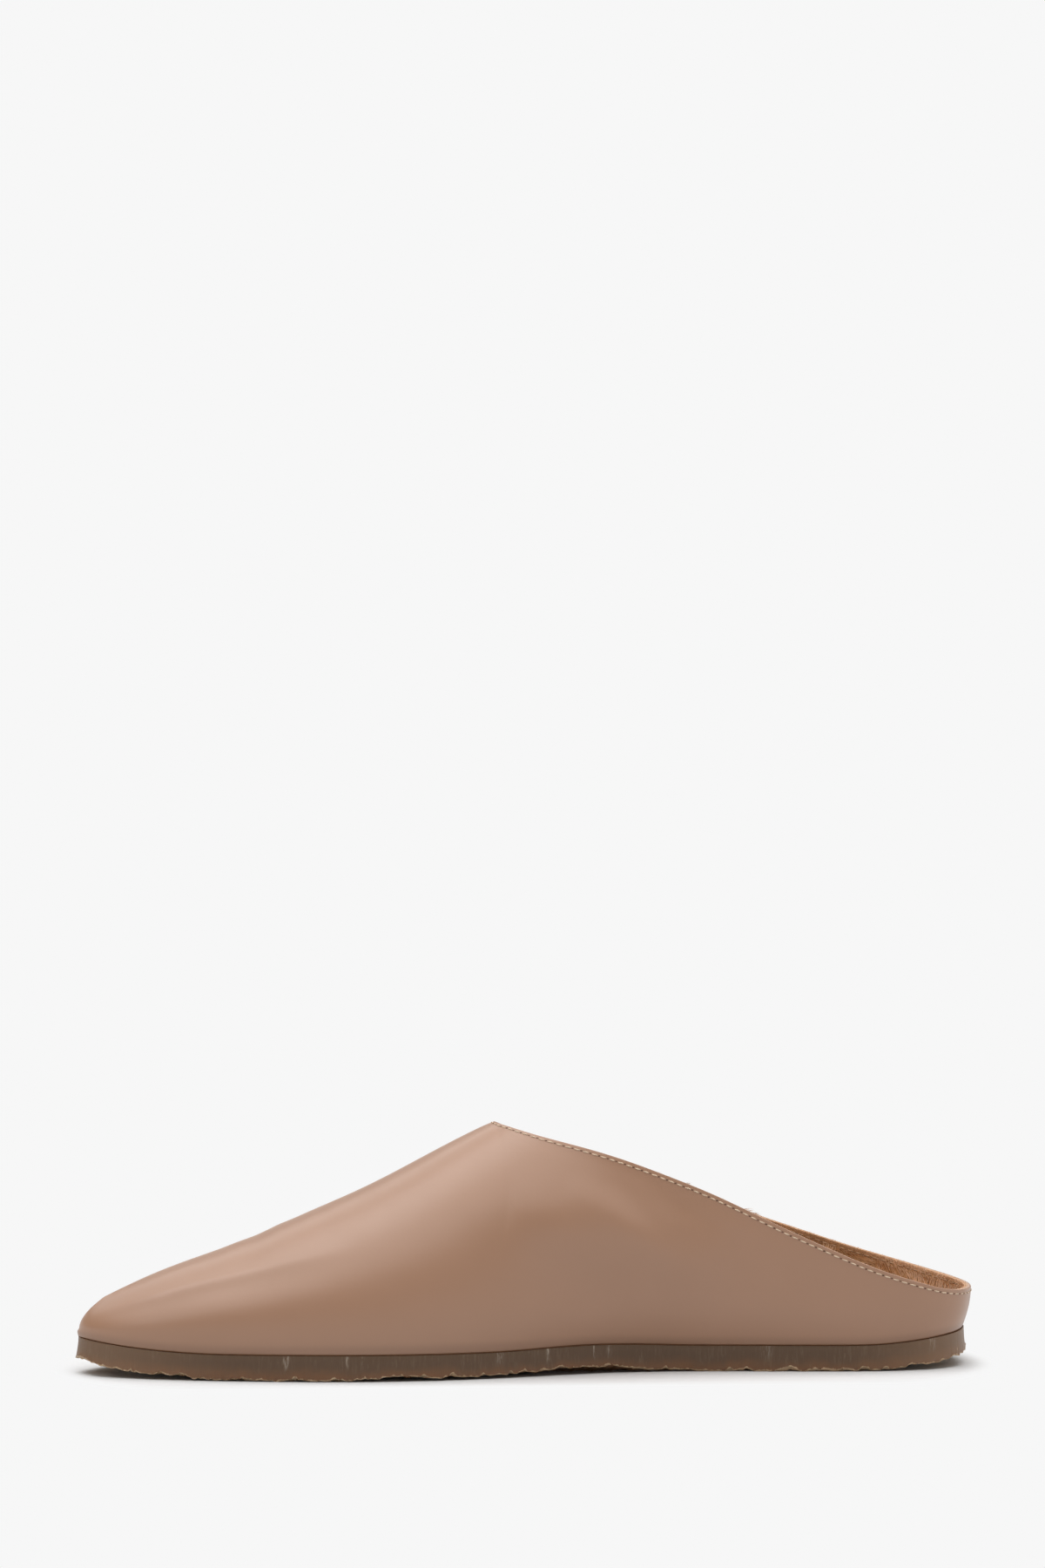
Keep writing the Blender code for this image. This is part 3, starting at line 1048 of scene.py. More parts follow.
@dataclass(frozen=True)
class WaxedThread:
    """Bonded polyester thread, twisted and waxed: a soft gloss on each plump stitch."""

    name: str
    colour: str
    twist: float = 0.45 * MM

    def build(self) -> bpy.types.Material:
        """Makes the material.

        Returns:
            The material.
        """
        material, tree = new_material(self.name)
        place = add_node(tree, "ShaderNodeTexCoord", output="Object")
        ply = add_node(
            tree,
            "ShaderNodeTexWave",
            {"bands_direction": "DIAGONAL"},
            {"Vector": place, "Scale": 0.3 / self.twist, "Distortion": 1.0},
            "Fac",
        )
        shade = add_node(
            tree, "ShaderNodeMapRange", inputs={"Value": ply, "To Min": 0.82, "To Max": 1.08}
        )
        base = add_node(
            tree,
            "ShaderNodeVectorMath",
            {"operation": "SCALE"},
            {"Vector": linear(self.colour)[:3], "Scale": shade},
        )
        surface = add_node(
            tree,
            "ShaderNodeBsdfPrincipled",
            inputs={"Base Color": base, "Roughness": 0.6},
        )
        add_node(tree, "ShaderNodeOutputMaterial", inputs={"Surface": surface})
        return material


@dataclass(frozen=True)
class PaintedHoleShade:
    """Painted shade for the inside of a needle's hole in leather: deep brown and quite dull."""

    colour: str = "#94705a"
    mottle: float = 1.2 * MM

    def build(self) -> bpy.types.Material:
        """Makes the material.

        Returns:
            The material.
        """
        material, tree = new_material("painted_needle_hole_shade")
        place = add_node(tree, "ShaderNodeTexCoord", output="Object")
        shade = add_node(
            tree, "ShaderNodeTexNoise", inputs={"Vector": place, "Scale": 1 / self.mottle}
        )
        base = add_node(
            tree,
            "ShaderNodeVectorMath",
            {"operation": "SCALE"},
            {"Vector": linear(self.colour)[:3], "Scale": shade},
        )
        surface = add_node(
            tree, "ShaderNodeBsdfPrincipled", inputs={"Base Color": base, "Roughness": 0.9}
        )
        add_node(tree, "ShaderNodeOutputMaterial", inputs={"Surface": surface})
        return material


@dataclass(frozen=True)
class SeamShadeFinish:
    """Painted shade for the gap under the leather's turned foot: a dull dark brown line, blotched a
    little.
    """

    colour: str = "#5c3f29"
    blotch: float = 2.5 * MM

    def build(self) -> bpy.types.Material:
        """Makes the material.

        Returns:
            The material.
        """
        material, tree = new_material("painted_seam_shade")
        place = add_node(tree, "ShaderNodeTexCoord", output="Object")
        blotch = add_node(
            tree, "ShaderNodeTexNoise", inputs={"Vector": place, "Scale": 1 / self.blotch}
        )
        shade = add_node(
            tree, "ShaderNodeMapRange", inputs={"Value": blotch, "To Min": 0.7, "To Max": 1.3}
        )
        base = add_node(
            tree,
            "ShaderNodeVectorMath",
            {"operation": "SCALE"},
            {"Vector": linear(self.colour)[:3], "Scale": shade},
        )
        surface = add_node(
            tree,
            "ShaderNodeBsdfPrincipled",
            inputs={"Base Color": base, "Roughness": 0.85, "Specular IOR Level": 0.2},
        )
        add_node(tree, "ShaderNodeOutputMaterial", inputs={"Surface": surface})
        return material


@dataclass(frozen=True)
class SeamlessPaper:
    """Matt white paper that takes the shoe's shadow and glows to one even white further off."""

    albedo: float = 0.655
    white: float = 0.930
    # The glow is none at the near distance from the shoe's middle line, and full at the far one.
    half_length: float = 100 * MM
    near: float = 30 * MM
    far: float = 41 * MM
    # Distance across the shoe counts for this much of distance along it.
    squeeze: float = 0.62

    def build(self) -> bpy.types.Material:
        """Makes the material.

        Returns:
            The material.
        """
        material, tree = new_material("seamless_paper")
        place = add_node(tree, "ShaderNodeTexCoord", output="Object")
        along = add_node(tree, "ShaderNodeSeparateXYZ", inputs={"Vector": place}, output="X")
        beside = add_node(
            tree,
            "ShaderNodeClamp",
            inputs={"Value": along, "Min": -self.half_length, "Max": self.half_length},
        )
        foot = add_node(tree, "ShaderNodeCombineXYZ", inputs={"X": beside})
        flat = add_node(
            tree,
            "ShaderNodeVectorMath",
            {"operation": "MULTIPLY"},
            {0: place, 1: (1.0, self.squeeze, 1.0)},
        )
        away = add_node(
            tree, "ShaderNodeVectorMath", {"operation": "DISTANCE"}, {0: flat, 1: foot}, "Value"
        )
        far = add_node(
            tree,
            "ShaderNodeMapRange",
            {"interpolation_type": "SMOOTHERSTEP"},
            {"Value": away, "From Min": self.near, "From Max": self.far},
        )
        paper = add_node(
            tree, "ShaderNodeBsdfDiffuse", inputs={"Color": (self.albedo,) * 3 + (1.0,)}
        )
        glow = add_node(
            tree,
            "ShaderNodeEmission",
            inputs={"Color": (self.white,) * 3 + (1.0,), "Strength": 1.0},
        )
        surface = add_node(tree, "ShaderNodeMixShader", inputs={0: far, 1: paper, 2: glow})
        add_node(tree, "ShaderNodeOutputMaterial", inputs={"Surface": surface})
        return material


# --------------------------------------------------------------------------------------------
# The upper
# --------------------------------------------------------------------------------------------


@dataclass(frozen=True)
class Crease:
    """A soft fold in the leather: a trough with a low swell on each side.

    Its line is read round the shoe: each point is a distance along X from the middle in
    millimetres, and an angle that is 0 level on the medial side, 90 at the crown and 180 level on
    the lateral side. A negative depth makes a ridge.
    """

    line: tuple[tuple[float, float], ...]
    width: float
    depth: float
    swell: float


@dataclass
class LeatherUpper:
    """The one-piece calf upper with its lining skin, from the sole's edge to the cut topline."""

    node: str = "upper"
    edge_round: float = 0.30 * MM
    foot_round: float = 0.35 * MM
    foot_drop: float = 0.17 * MM
    foot_reach: float = 2.5 * MM
    sharp: float = math.radians(50)
    levels: int = 2
    # The outside and the inside are known by their medial wall at the ball, above the footbed.
    ball: float = 60 * MM
    steep: float = 0.6
    bed_height: float = 15 * MM
    # The lip at the toe: how far it stands out, its height, and its reach to each side and back.
    lip_out: float = 0.55 * MM
    lip_height: float = 3.3 * MM
    lip_reach: float = 4.5 * MM
    lip_back: float = 4 * MM
    # Creases and swells fade in between these distances from the topline.
    rim_keep: tuple[float, float] = (0.3 * MM, 6 * MM)
    swells: Layers = ((0.10 * MM, 26 * MM, 3.1), (0.05 * MM, 11 * MM, 8.4))
    # The Y and Z of the line along the shoe that the creases' angles turn about.
    core: tuple[float, float] = (-5 * MM, 12 * MM)
    clear: float = 200 * MM
    creases: tuple[Crease, ...] = (
        # Across the vamp, where the toes bend.
        Crease(
            ((-84, 34), (-82, 62), (-80, 90), (-80, 114), (-83, 136)),
            3.4 * MM,
            0.14 * MM,
            0.12 * MM,
        ),
        Crease(((-78, 66), (-76, 82), (-76, 98)), 1.1 * MM, 0.07 * MM, 0.03 * MM),
        # Along the inner side of the toe, with a ridge above, and across its front.
        Crease(
            (
                (-131, 10),
                (-124, 13),
                (-118, 16),
                (-110, 18),
                (-98, 22),
                (-85, 25),
                (-70, 28),
                (-56, 31),
            ),
            4.5 * MM,
            0.48 * MM,
            0.0,
        ),
        Crease(
            ((-131, 17), (-124, 21), (-110, 26), (-98, 30), (-85, 33), (-70, 36), (-56, 38)),
            2.2 * MM,
            -0.30 * MM,
            0.0,
        ),
        Crease(
            ((-126, 40), (-127, 65), (-127, 90), (-127, 115), (-126, 140)),
            2.8 * MM,
            0.36 * MM,
            0.0,
        ),
        # Broad fullness under the throat on the inner side.
        Crease(((-10, 50), (8, 48), (22, 46), (38, 42), (60, 36)), 12.0 * MM, -3.4 * MM, 0.0),
        Crease(((8, 59), (20, 55), (32, 50), (44, 45)), 6.0 * MM, -0.9 * MM, 0.0),
        # Small folds that run down from the topline.
        Crease(((22, 58), (34, 50), (48, 44)), 3.2 * MM, 0.14 * MM, 0.10 * MM),
        Crease(((30, 66), (42, 58), (58, 50)), 2.6 * MM, 0.08 * MM, 0.08 * MM),
        Crease(((24, 122), (38, 130), (52, 136)), 3.2 * MM, 0.13 * MM, 0.08 * MM),
    )
    piece: bpy.types.Object = field(init=False)
    outer_rim: Array = field(init=False)
    inner_rim: Array = field(init=False)

    def build(self) -> None:
        """Makes the upper and ties it to the frame."""
        self.piece = copy_of_node(self.node, "calf_upper")
        for finish in (SatinCalf(), CutEdge(), LiningSkin()):
            self.piece.data.materials.append(finish.build())
        self.piece.data.materials.append(self.piece.data.materials[Zone.OUTSIDE.value])
        self._name_zones()
        self._round_edges()
        apply_modifier(
            self.piece, "SUBSURF", levels=self.levels, render_levels=self.levels, quality=4
        )
        self.outer_rim = self.meeting_line(Zone.CUT_EDGE, Zone.OUTSIDE)
        self.inner_rim = self.meeting_line(Zone.CUT_EDGE, Zone.INSIDE)
        self._shape()
        self._measure()
        place_piece(self.piece, "leather", self.node)

    def _name_zones(self) -> None:
        """Gives each face of the shell its zone, found by spreading up to the sharp edges."""
        with editing(self.piece) as mesh:
            bpy.ops.mesh.select_mode(type="EDGE")
            bpy.ops.mesh.edges_select_sharp(sharpness=self.sharp)
            bpy.ops.mesh.mark_seam()
            shape = bmesh.from_edit_mesh(mesh)
            middles = {face: face.calc_center_median() for face in shape.faces}
            ball = [face for face, middle in middles.items() if abs(middle.x) < self.ball]
            outward = [face for face in ball if face.normal.y < -self.steep]
            inward = [face for face in ball if face.normal.y > self.steep]
            inward = [face for face in inward if middles[face].z > self.bed_height]
            # The cut edge's face is the highest that looks to the heel, and height counts most.
            seeds = {
                Zone.OUTSIDE: min(outward, key=lambda face: middles[face].y),
                Zone.INSIDE: min(inward, key=lambda face: middles[face].y),
                Zone.CUT_EDGE: max(middles, key=lambda face: face.normal.x + 300 * middles[face].z),
                Zone.TURNED_EDGE: min(middles, key=lambda face: middles[face].z + face.normal.z),
            }
            # Faces are kept by number, because each operator makes the edit mesh anew.
            numbers = {zone: face.index for zone, face in seeds.items()}
            for zone, number in numbers.items():
                select_faces(mesh, {number})
                bpy.ops.mesh.select_linked(delimit={"SEAM"})
                self.piece.active_material_index = zone.value
                bpy.ops.object.material_slot_assign()

    def _round_edges(self) -> None:
        """Rounds the cut topline a little, and the turned edge over the sole a little more."""
        # The two zones that meet, the width of the rounding, and the zone it is finished as.
        rounds = (
            (Zone.CUT_EDGE, Zone.OUTSIDE, self.edge_round, Zone.OUTSIDE),
            (Zone.CUT_EDGE, Zone.INSIDE, self.edge_round, Zone.INSIDE),
            (Zone.TURNED_EDGE, Zone.OUTSIDE, self.foot_round, Zone.TURNED_EDGE),
        )
        for zone, beside, size, finish in rounds:
            with editing(self.piece) as mesh:
                shape = bmesh.from_edit_mesh(mesh)
                wanted = set()
                for edge in shape.edges:
                    near = {face.material_index for face in edge.link_faces}
                    if near == {zone.value, beside.value}:
                        wanted.add(edge.index)
                select_edges(mesh, wanted)
                bpy.ops.mesh.bevel(
                    offset=size,
                    segments=2,
                    affect="EDGES",
                    material=finish.value,
                    clamp_overlap=False,
                )

    def meeting_line(self, zone: Zone, other: Zone) -> Array:
        """Finds the line where two zones of the shell meet.

        Args:
            zone: One of them.
            other: Its neighbour.

        Returns:
            Closely spaced points round the shoe, starting at the highest.
        """
        shape = bmesh.new()
        shape.from_mesh(self.piece.data)
        wanted = {other.value, zone.value}
        pairs = [
            (edge.verts[0].index, edge.verts[1].index)
            for edge in shape.edges
            if {face.material_index for face in edge.link_faces} == wanted
        ]
        shape.free()
        line = points_of(self.piece.data)[walk(pairs)]
        line = np.roll(line, -int(np.argmax(line[:, 2])), axis=0)
        return spaced_line(line, 0.2 * MM)

    def _crease_points(self, tree: BVHTree, crease: Crease) -> Array:
        """Lays a crease's line on the leather.

        Args:
            tree: The shell's faces.
            crease: The crease.

        Returns:
            Closely spaced points on the leather.
        """
        found = []
        for along, angle in crease.line:
            turn = math.radians(angle)
            away = Vector((0, -math.cos(turn), math.sin(turn)))
            core = Vector((along * MM, *self.core))
            hit = tree.ray_cast(core + away * self.clear, -away)[0]
            found.append(np.array(hit))
        return spaced_line(np.array(found), 0.5 * MM, closed=False)

    def _in_zone(self, zone: Zone) -> Array:
        """Marks the vertices of one zone.

        Args:
            zone: The zone.

        Returns:
            True or False for each vertex.
        """
        mesh = self.piece.data
        marked = np.zeros(len(mesh.vertices), bool)
        for face in mesh.polygons:
            if face.material_index == zone.value:
                marked[list(face.vertices)] = True
        return marked

    def _shape(self) -> None:
        """Works the leather: creases, slow swells, the pinched lip at the toe, the turned foot."""
        mesh = self.piece.data
        points, normals = points_of(mesh), normals_of(mesh)
        tree = BVHTree.FromObject(self.piece, bpy.context.evaluated_depsgraph_get())
        foot_gap = distance_to(points, points[self._in_zone(Zone.TURNED_EDGE)])[0]
        keep_rim = smooth_step(distance_to(points, self.outer_rim)[0], *self.rim_keep)
        move = np.zeros(len(points))
        for crease in self.creases:
            line = self._crease_points(tree, crease)
            gap, nearest = distance_to(points, line)
            share = nearest / (len(line) - 1)
            # A crease dies away at both ends, and its swells stand about two widths to each side.
            fade = np.sin(math.pi * np.clip(share, 0.02, 0.98)) ** 0.7
            trough = np.exp(-((gap / crease.width) ** 2))
            swell = np.exp(-(((gap - 2.1 * crease.width) / crease.width) ** 2))
            move += fade * (crease.swell * swell - crease.depth * trough)
        move += layered(points, self.swells)
        points = points + normals * (move * keep_rim * self._in_zone(Zone.OUTSIDE))[:, None]
        points[:, 2] -= self.foot_drop * (1 - smooth_step(foot_gap, 0.0, self.foot_reach))
        set_points(mesh, self._pinch_toe(points))

    def _pinch_toe(self, points: Array) -> Array:
        """Pinches the leather out into a small lip at the very toe, just over the sole.

        Args:
            points: The shell's points.

        Returns:
            The moved points.
        """
        foremost = points[np.argmin(points[:, 0])]
        near = points[:, 0] < foremost[0] + 2 * self.lip_reach
        height = (points[:, 2] - points[near, 2].min()) / self.lip_height
        # The lip stands out evenly from the sole up, and ends in a soft step.
        bulge = 1 - smooth_step(height, 0.72, 1.08)
        aside = np.exp(-(((points[:, 1] - foremost[1]) / self.lip_reach) ** 2))
        ahead = smooth_step(-points[:, 0], -foremost[0] - self.lip_back, -foremost[0] - 0.5 * MM)
        moved = points.copy()
        moved[:, 0] -= self.lip_out * bulge * aside * ahead
        return moved

    def _measure(self) -> None:
        """Stores what the finishes read: gaps to topline and sole, and the way across the cut."""
        mesh = self.piece.data
        points = points_of(mesh)
        to_outer = distance_to(points, self.outer_rim)[0]
        to_inner = distance_to(points, self.inner_rim)[0]
        store(mesh, "rim_gap", np.minimum(to_outer, to_inner))
        store(mesh, "across", to_outer / np.maximum(to_outer + to_inner, 0.01 * MM))
        turned = points[self._in_zone(Zone.TURNED_EDGE)]
        store(mesh, "sole_gap", distance_to(points, turned)[0])

    def surface(self, zone: Zone) -> BVHTree:
        """Builds a search tree of one zone's faces.

        Args:
            zone: The zone.

        Returns:
            The tree.
        """
        mesh = self.piece.data
        zoned = [face for face in mesh.polygons if face.material_index == zone.value]
        faces = [tuple(face.vertices) for face in zoned]
        return BVHTree.FromPolygons([vertex.co for vertex in mesh.vertices], faces)


# --------------------------------------------------------------------------------------------
# The stitching
# --------------------------------------------------------------------------------------------


@dataclass
class CollarStitching:
    """One lockstitch row round the topline: a stitch and a needle hole's painted shade at every
    pitch.
    """

    upper: LeatherUpper
    zone: Zone
    thread: WaxedThread
    name: str
    below_rim: float
    pitch: float = 2.68 * MM
    length: float = 1.80 * MM
    width: float = 0.44 * MM
    height: float = 0.38 * MM
    raised: float = 0.06 * MM
    slant: float = math.radians(-3)
    hole_length: float = 0.72 * MM
    hole_width: float = 0.44 * MM
    hole_raised: float = 0.05 * MM
    hole_rim: float = 0.12 * MM
    hole_dip: float = 0.03 * MM
    hole_slant: float = math.radians(-22)
    # Round the throat the row closes up to this share of its distance below the edge.
    throat_share: float = 0.68
    throat_reach: float = 34 * MM

    def build(self) -> None:
        """Makes the stitches and the dishes of painted hole shade between them."""
        seats = self._seats()
        stitches = joined_copies(self.name + "_stitches", self._stitch(), seats[0::2])
        stitches.data.materials.append(self.thread.build())
        place_piece(stitches, "thread")
        # Each hole is a thin dark dish: painted shade for a needle hole.
        hole_shades = joined_copies(self.name + "_painted_hole_shades", self._hole(), seats[1::2])
        hole_shades.data.materials.append(PaintedHoleShade().build())
        place_piece(hole_shades, "thread")

    def _seats(self) -> list[Matrix]:
        """Finds the places of stitches and holes, in turn, round the topline.

        Returns:
            One matrix each: X along the row, Z out of the surface.
        """
        here, there = self.upper.outer_rim, self.upper.inner_rim
        if self.zone is Zone.INSIDE:
            here, there = there, here
        tree = self.upper.surface(self.zone)
        row = spaced_line(here, self.pitch / 2)
        # Stitches and holes take turns, so their number is made even.
        if len(row) % 2:
            row = spaced_line(here, self.pitch / 2 * len(row) / (len(row) + 1))
        opposite = there[distance_to(row, there)[1]]
        travel = np.minimum(np.arange(len(row)), len(row) - np.arange(len(row))) * self.pitch / 2
        opened = smooth_step(travel, 0, self.throat_reach)
        below = self.below_rim * (self.throat_share + (1 - self.throat_share) * opened)
        seats = []
        for number, place in enumerate(row):
            tangent = Vector(row[(number + 1) % len(row)] - row[number - 1]).normalized()
            facing = Vector(place - opposite[number]).normalized()
            down = tangent.cross(facing).normalized()
            if down.z > 0:
                down = -down
            seat, normal, _, _ = tree.find_nearest(Vector(place) + down * below[number])
            across = normal.cross(tangent).normalized()
            tangent = across.cross(normal)
            turned = Matrix((tangent, across, normal)).transposed().to_4x4()
            turned.translation = seat
            seats.append(turned)
        return seats

    def _stitch(self) -> bpy.types.Object:
        """Models one stitch: a plump grain of thread whose ends dive into their holes.

        Returns:
            The stitch, round the origin.
        """
        bpy.ops.object.select_all(action="DESELECT")
        bpy.ops.mesh.primitive_uv_sphere_add(
            segments=8, ring_count=7, radius=0.5, rotation=(0, math.pi / 2, 0)
        )
        stitch = bpy.context.object
        bpy.ops.object.transform_apply(location=True, rotation=True, scale=True)
        with editing(stitch):
            bpy.ops.mesh.select_all(action="SELECT")
            bpy.ops.transform.resize(value=(self.length, self.width, self.height))
            bpy.ops.transform.translate(value=(0, 0, self.raised))
            bpy.ops.transform.rotate(value=self.slant, orient_axis="Z", center_override=(0, 0, 0))
        return stitch

    def _hole(self) -> bpy.types.Object:
        """Models one needle hole's painted shade: a thin dark dish that lies on the surface.

        Returns:
            The dish, round the origin.
        """
        bpy.ops.object.select_all(action="DESELECT")
        bpy.ops.mesh.primitive_circle_add(vertices=12, radius=0.5, fill_type="NGON")
        hole = bpy.context.object
        with editing(hole):
            bpy.ops.mesh.select_all(action="SELECT")
            bpy.ops.transform.resize(value=(self.hole_length, self.hole_width, 1))
            bpy.ops.transform.rotate(
                value=self.hole_slant, orient_axis="Z", center_override=(0, 0, 0)
            )
            bpy.ops.transform.translate(value=(0, 0, self.hole_raised))
            bpy.ops.mesh.inset(thickness=self.hole_rim)
            bpy.ops.transform.translate(value=(0, 0, -self.hole_dip))
        return hole


# --------------------------------------------------------------------------------------------
# The hair
# --------------------------------------------------------------------------------------------


@dataclass(frozen=True)
class HairCut:
    """How one patch of hair is cut and combed.

    The lift is how far a hair stands off the skin, in radians, the wave how far it strays from the
    comb, also in radians, and the clump how far it leans to its leader, from 0 to 1.
    """

    count: int
    length: float
    width: float
    lift: float
    wave: float
    clump: float
    seed: int
    tone: float = 0.5
    joints: int = 3


@dataclass
class HairLining:
    """Short hair on the inner walls behind the throat and on the footbed."""

    upper: LeatherUpper
    footbed: bpy.types.Object
    walls: HairCut = HairCut(34000, 4.4 * MM, 0.19 * MM, lift=0.24, wave=0.55, clump=0.35, seed=11)
    bed: HairCut = HairCut(36000, 5.5 * MM, 0.22 * MM, lift=0.62, wave=1.2, clump=0.4, seed=23)
    nap: HairCut = HairCut(7000, 0.85 * MM, 0.12 * MM, lift=0.30, wave=0.5, clump=0.0, seed=47)
    clump_hairs: int = 40
    from_x: float = -34 * MM
    from_z: float = 13 * MM
    # For the medial and the lateral wall: the comb, where the hair starts below the cut edge, and
    # where the nap starts and stops.
    combs: tuple[tuple[float, float, float], ...] = ((0.95, 0.0, 0.02), (0.75, 0.0, -0.62))
    below_rim: tuple[float, float] = (1.1 * MM, 1.75 * MM)
    nap_depth: tuple[tuple[float, float], ...] = ((1.2 * MM, 1.6 * MM), (0.4 * MM, 2.1 * MM))
    # Along the back of both walls the comb turns down.
    back_comb: tuple[float, float, float] = (0.4, 0.0, -0.9)
    back_turn: tuple[float, float] = (94 * MM, 120 * MM)
    bed_comb: tuple[float, float, float] = (-1.0, 0.15, 0.0)
    # Strays stand along one stretch of the medial topline, with a tuft in another, and the edge
    # has its fuzz all round the back.
    stray_comb: tuple[float, float, float] = (0.35, 0.0, 1.0)
    stray_span: tuple[float, float] = (52 * MM, 116 * MM)
    tuft_span: tuple[float, float] = (85.5 * MM, 89 * MM)
    fuzz_from: float = 64 * MM
    # The hair is paled towards the heel between these places, by this much: painted light for the
    # lit hair there, with some wear.
    worn_and_lit_from: float = 102 * MM
    worn_and_lit_to: float = 124 * MM
    worn_and_lit: float = 0.42

    def build(self) -> None:
        """Grows the hair of both walls and of the footbed, and the stray hairs at the topline."""
        finish = ClippedHair().build()
        for side, heading in zip(Side, self.combs):
            name = f"hair_{side.name.lower()}_wall"
            far = side is Side.LATERAL
            roots, normals = self._wall_roots(side, self.walls, (self.below_rim[far], math.inf))
            comb = self._combed(roots, heading)
            self._grow(name, self.walls, roots, normals, comb, finish)
            roots, normals = self._wall_roots(side, self.nap, self.nap_depth[far])
            comb = self._combed(roots, heading)
            self._grow(name + "_nap", self.nap, roots, normals, comb, finish)
        roots, normals = self._bed_roots()
        comb = np.tile(self.bed_comb, (len(roots), 1))
        self._grow("hair_footbed", self.bed, roots, normals, comb, finish)
        self._strays(finish)

    def _combed(self, roots: Array, heading: tuple[float, float, float]) -> Array:
        """Says which way the hair of a wall lies: along the wall, and down it at the back.

        Args:
            roots: Where each hair starts.
            heading: The way along the wall.

        Returns:
            One direction each.
        """
        back = smooth_step(roots[:, 0], *self.back_turn)[:, None]
        return (1 - back) * np.array(heading) + back * np.array(self.back_comb)

    def _scatter(
        self, mesh: bpy.types.Mesh, wanted: Array, count: int, seed: int
    ) -> tuple[Array, Array]:
        """Spreads hair roots evenly over some faces.

        Args:
            mesh: The mesh to grow on.
            wanted: Which of its triangles may grow hair.
            count: How many roots.
            seed: The random seed.

        Returns:
            The roots and the surface normals there.
        """
        rng = np.random.default_rng(seed)
        # A triangle is drawn by its area, and then a place in it by three weights.
        corners = read(mesh.loop_triangles, "vertices", 3, np.int32)[wanted]
        points, normals = points_of(mesh), normals_of(mesh)
        first, second, third = (points[corners[:, place]] for place in range(3))
        area = np.linalg.norm(np.cross(second - first, third - first), axis=1)
        chosen = rng.choice(len(corners), count, p=area / area.sum())
        mix = rng.random((count, 2))
        mix = np.where(mix.sum(axis=1, keepdims=True) > 1, 1 - mix, mix)
        weights = np.column_stack([1 - mix.sum(axis=1), mix])
        roots, facing = (
            sum(weights[:, place, None] * rows[corners[chosen, place]] for place in range(3))
            for rows in (points, normals)
        )
        return roots, facing / np.linalg.norm(facing, axis=1)[:, None]

    def _wall_roots(
        self, side: Side, cut: HairCut, depth: tuple[float, float]
    ) -> tuple[Array, Array]:
        """Finds the roots on one inner wall.

        Args:
            side: Which wall.
            cut: The hair to be grown.
            depth: How far below the cut edge it starts and stops.

        Returns:
            The roots and the normals.
        """
        mesh = self.upper.piece.data
        mesh.calc_loop_triangles()
        owner = read(mesh.loop_triangles, "polygon_index", kind=np.int32)
        zones = read(mesh.polygons, "material_index", kind=np.int32)[owner]
        centres = read(mesh.polygons, "center", 3).astype(float)[owner]
        gaps = read(mesh.attributes["rim_gap"].data, "value")
        gap = gaps[read(mesh.loop_triangles, "vertices", 3, np.int32)].min(axis=1)
        wanted = (zones == Zone.INSIDE.value) & (gap > depth[0]) & (gap < depth[1])
        wanted &= (centres[:, 0] > self.from_x) & (centres[:, 2] > self.from_z)
        wanted &= centres[:, 1] * side.value > 0
        return self._scatter(mesh, wanted, cut.count, cut.seed + side.value)

    def _bed_roots(self) -> tuple[Array, Array]:
        """Finds the roots on the footbed.

        Returns:
            The roots and the normals.
        """
        mesh = self.footbed.data
        mesh.calc_loop_triangles()
        owner = read(mesh.loop_triangles, "polygon_index", kind=np.int32)
        centres = read(mesh.polygons, "center", 3).astype(float)
        facing = read(mesh.polygons, "normal", 3).astype(float)
        wanted = (centres[:, 0] > self.from_x) & (facing[:, 2] > 0.7)
        return self._scatter(mesh, wanted[owner], self.bed.count, self.bed.seed)

    def _grow(
        self,
        name: str,
        cut: HairCut,
        roots: Array,
        normals: Array,
        comb: Array,
        finish: bpy.types.Material,
    ) -> None:
        """Grows one patch of hair as a single mesh of narrow tapering blades.

        Args:
            name: The piece's name.
            cut: How the patch is cut.
            roots: Where each hair starts.
            normals: The surface normal there.
            comb: The way it is combed.
            finish: The material.
        """
        rng = np.random.default_rng(cut.seed + 100)
        count = len(roots)
        flow = comb - normals * np.sum(comb * normals, axis=1)[:, None]
        flow /= np.linalg.norm(flow, axis=1)[:, None]
        aside = np.cross(normals, flow)
        # Locks turn and lift together, in slow swells, and each hair a little by itself.
        turn = layered(roots, ((cut.wave, 8 * MM, cut.seed), (0.5, 3.2 * MM, cut.seed + 5)))
        turn += rng.normal(0, 0.16, count)
        heading = np.cos(turn)[:, None] * flow + np.sin(turn)[:, None] * aside
        lift = cut.lift * (1 + 0.8 * wander(roots, 5.5 * MM, cut.seed + 9))
        lift = np.clip(lift + rng.normal(0, 0.05, count), 0.06, 1.0)
        length = cut.length * (0.75 + 0.35 * rng.random(count))
        bend = 0.35 * wander(roots, 4.5 * MM, cut.seed + 2) + rng.normal(0, 0.10, count)
        flat = np.cross(normals, heading)
        # Each hair leans to the nearest leader, and most of all at its tip.
        leaders = rng.choice(count, max(1, count // self.clump_hairs), replace=False)
        leader = leaders[distance_to(roots, roots[leaders])[1]]
        levels = np.linspace(0, 1, cut.joints + 1)
        rows = []
        for level in levels:
            reach = (length * level)[:, None]
            rise = np.sin(lift)[:, None] * (1 - 0.45 * level)
            path = roots + reach * (np.cos(lift)[:, None] * heading + rise * normals)
            path = path + reach * level * bend[:, None] * flat
            path = path + (path[leader] - path) * cut.clump * level**1.4
            half = 0.5 * cut.width * (1 - level**2.2)
            if level < 1:
                rows.append(path - flat * half)
                rows.append(path + flat * half)
            else:
                rows.append(path)
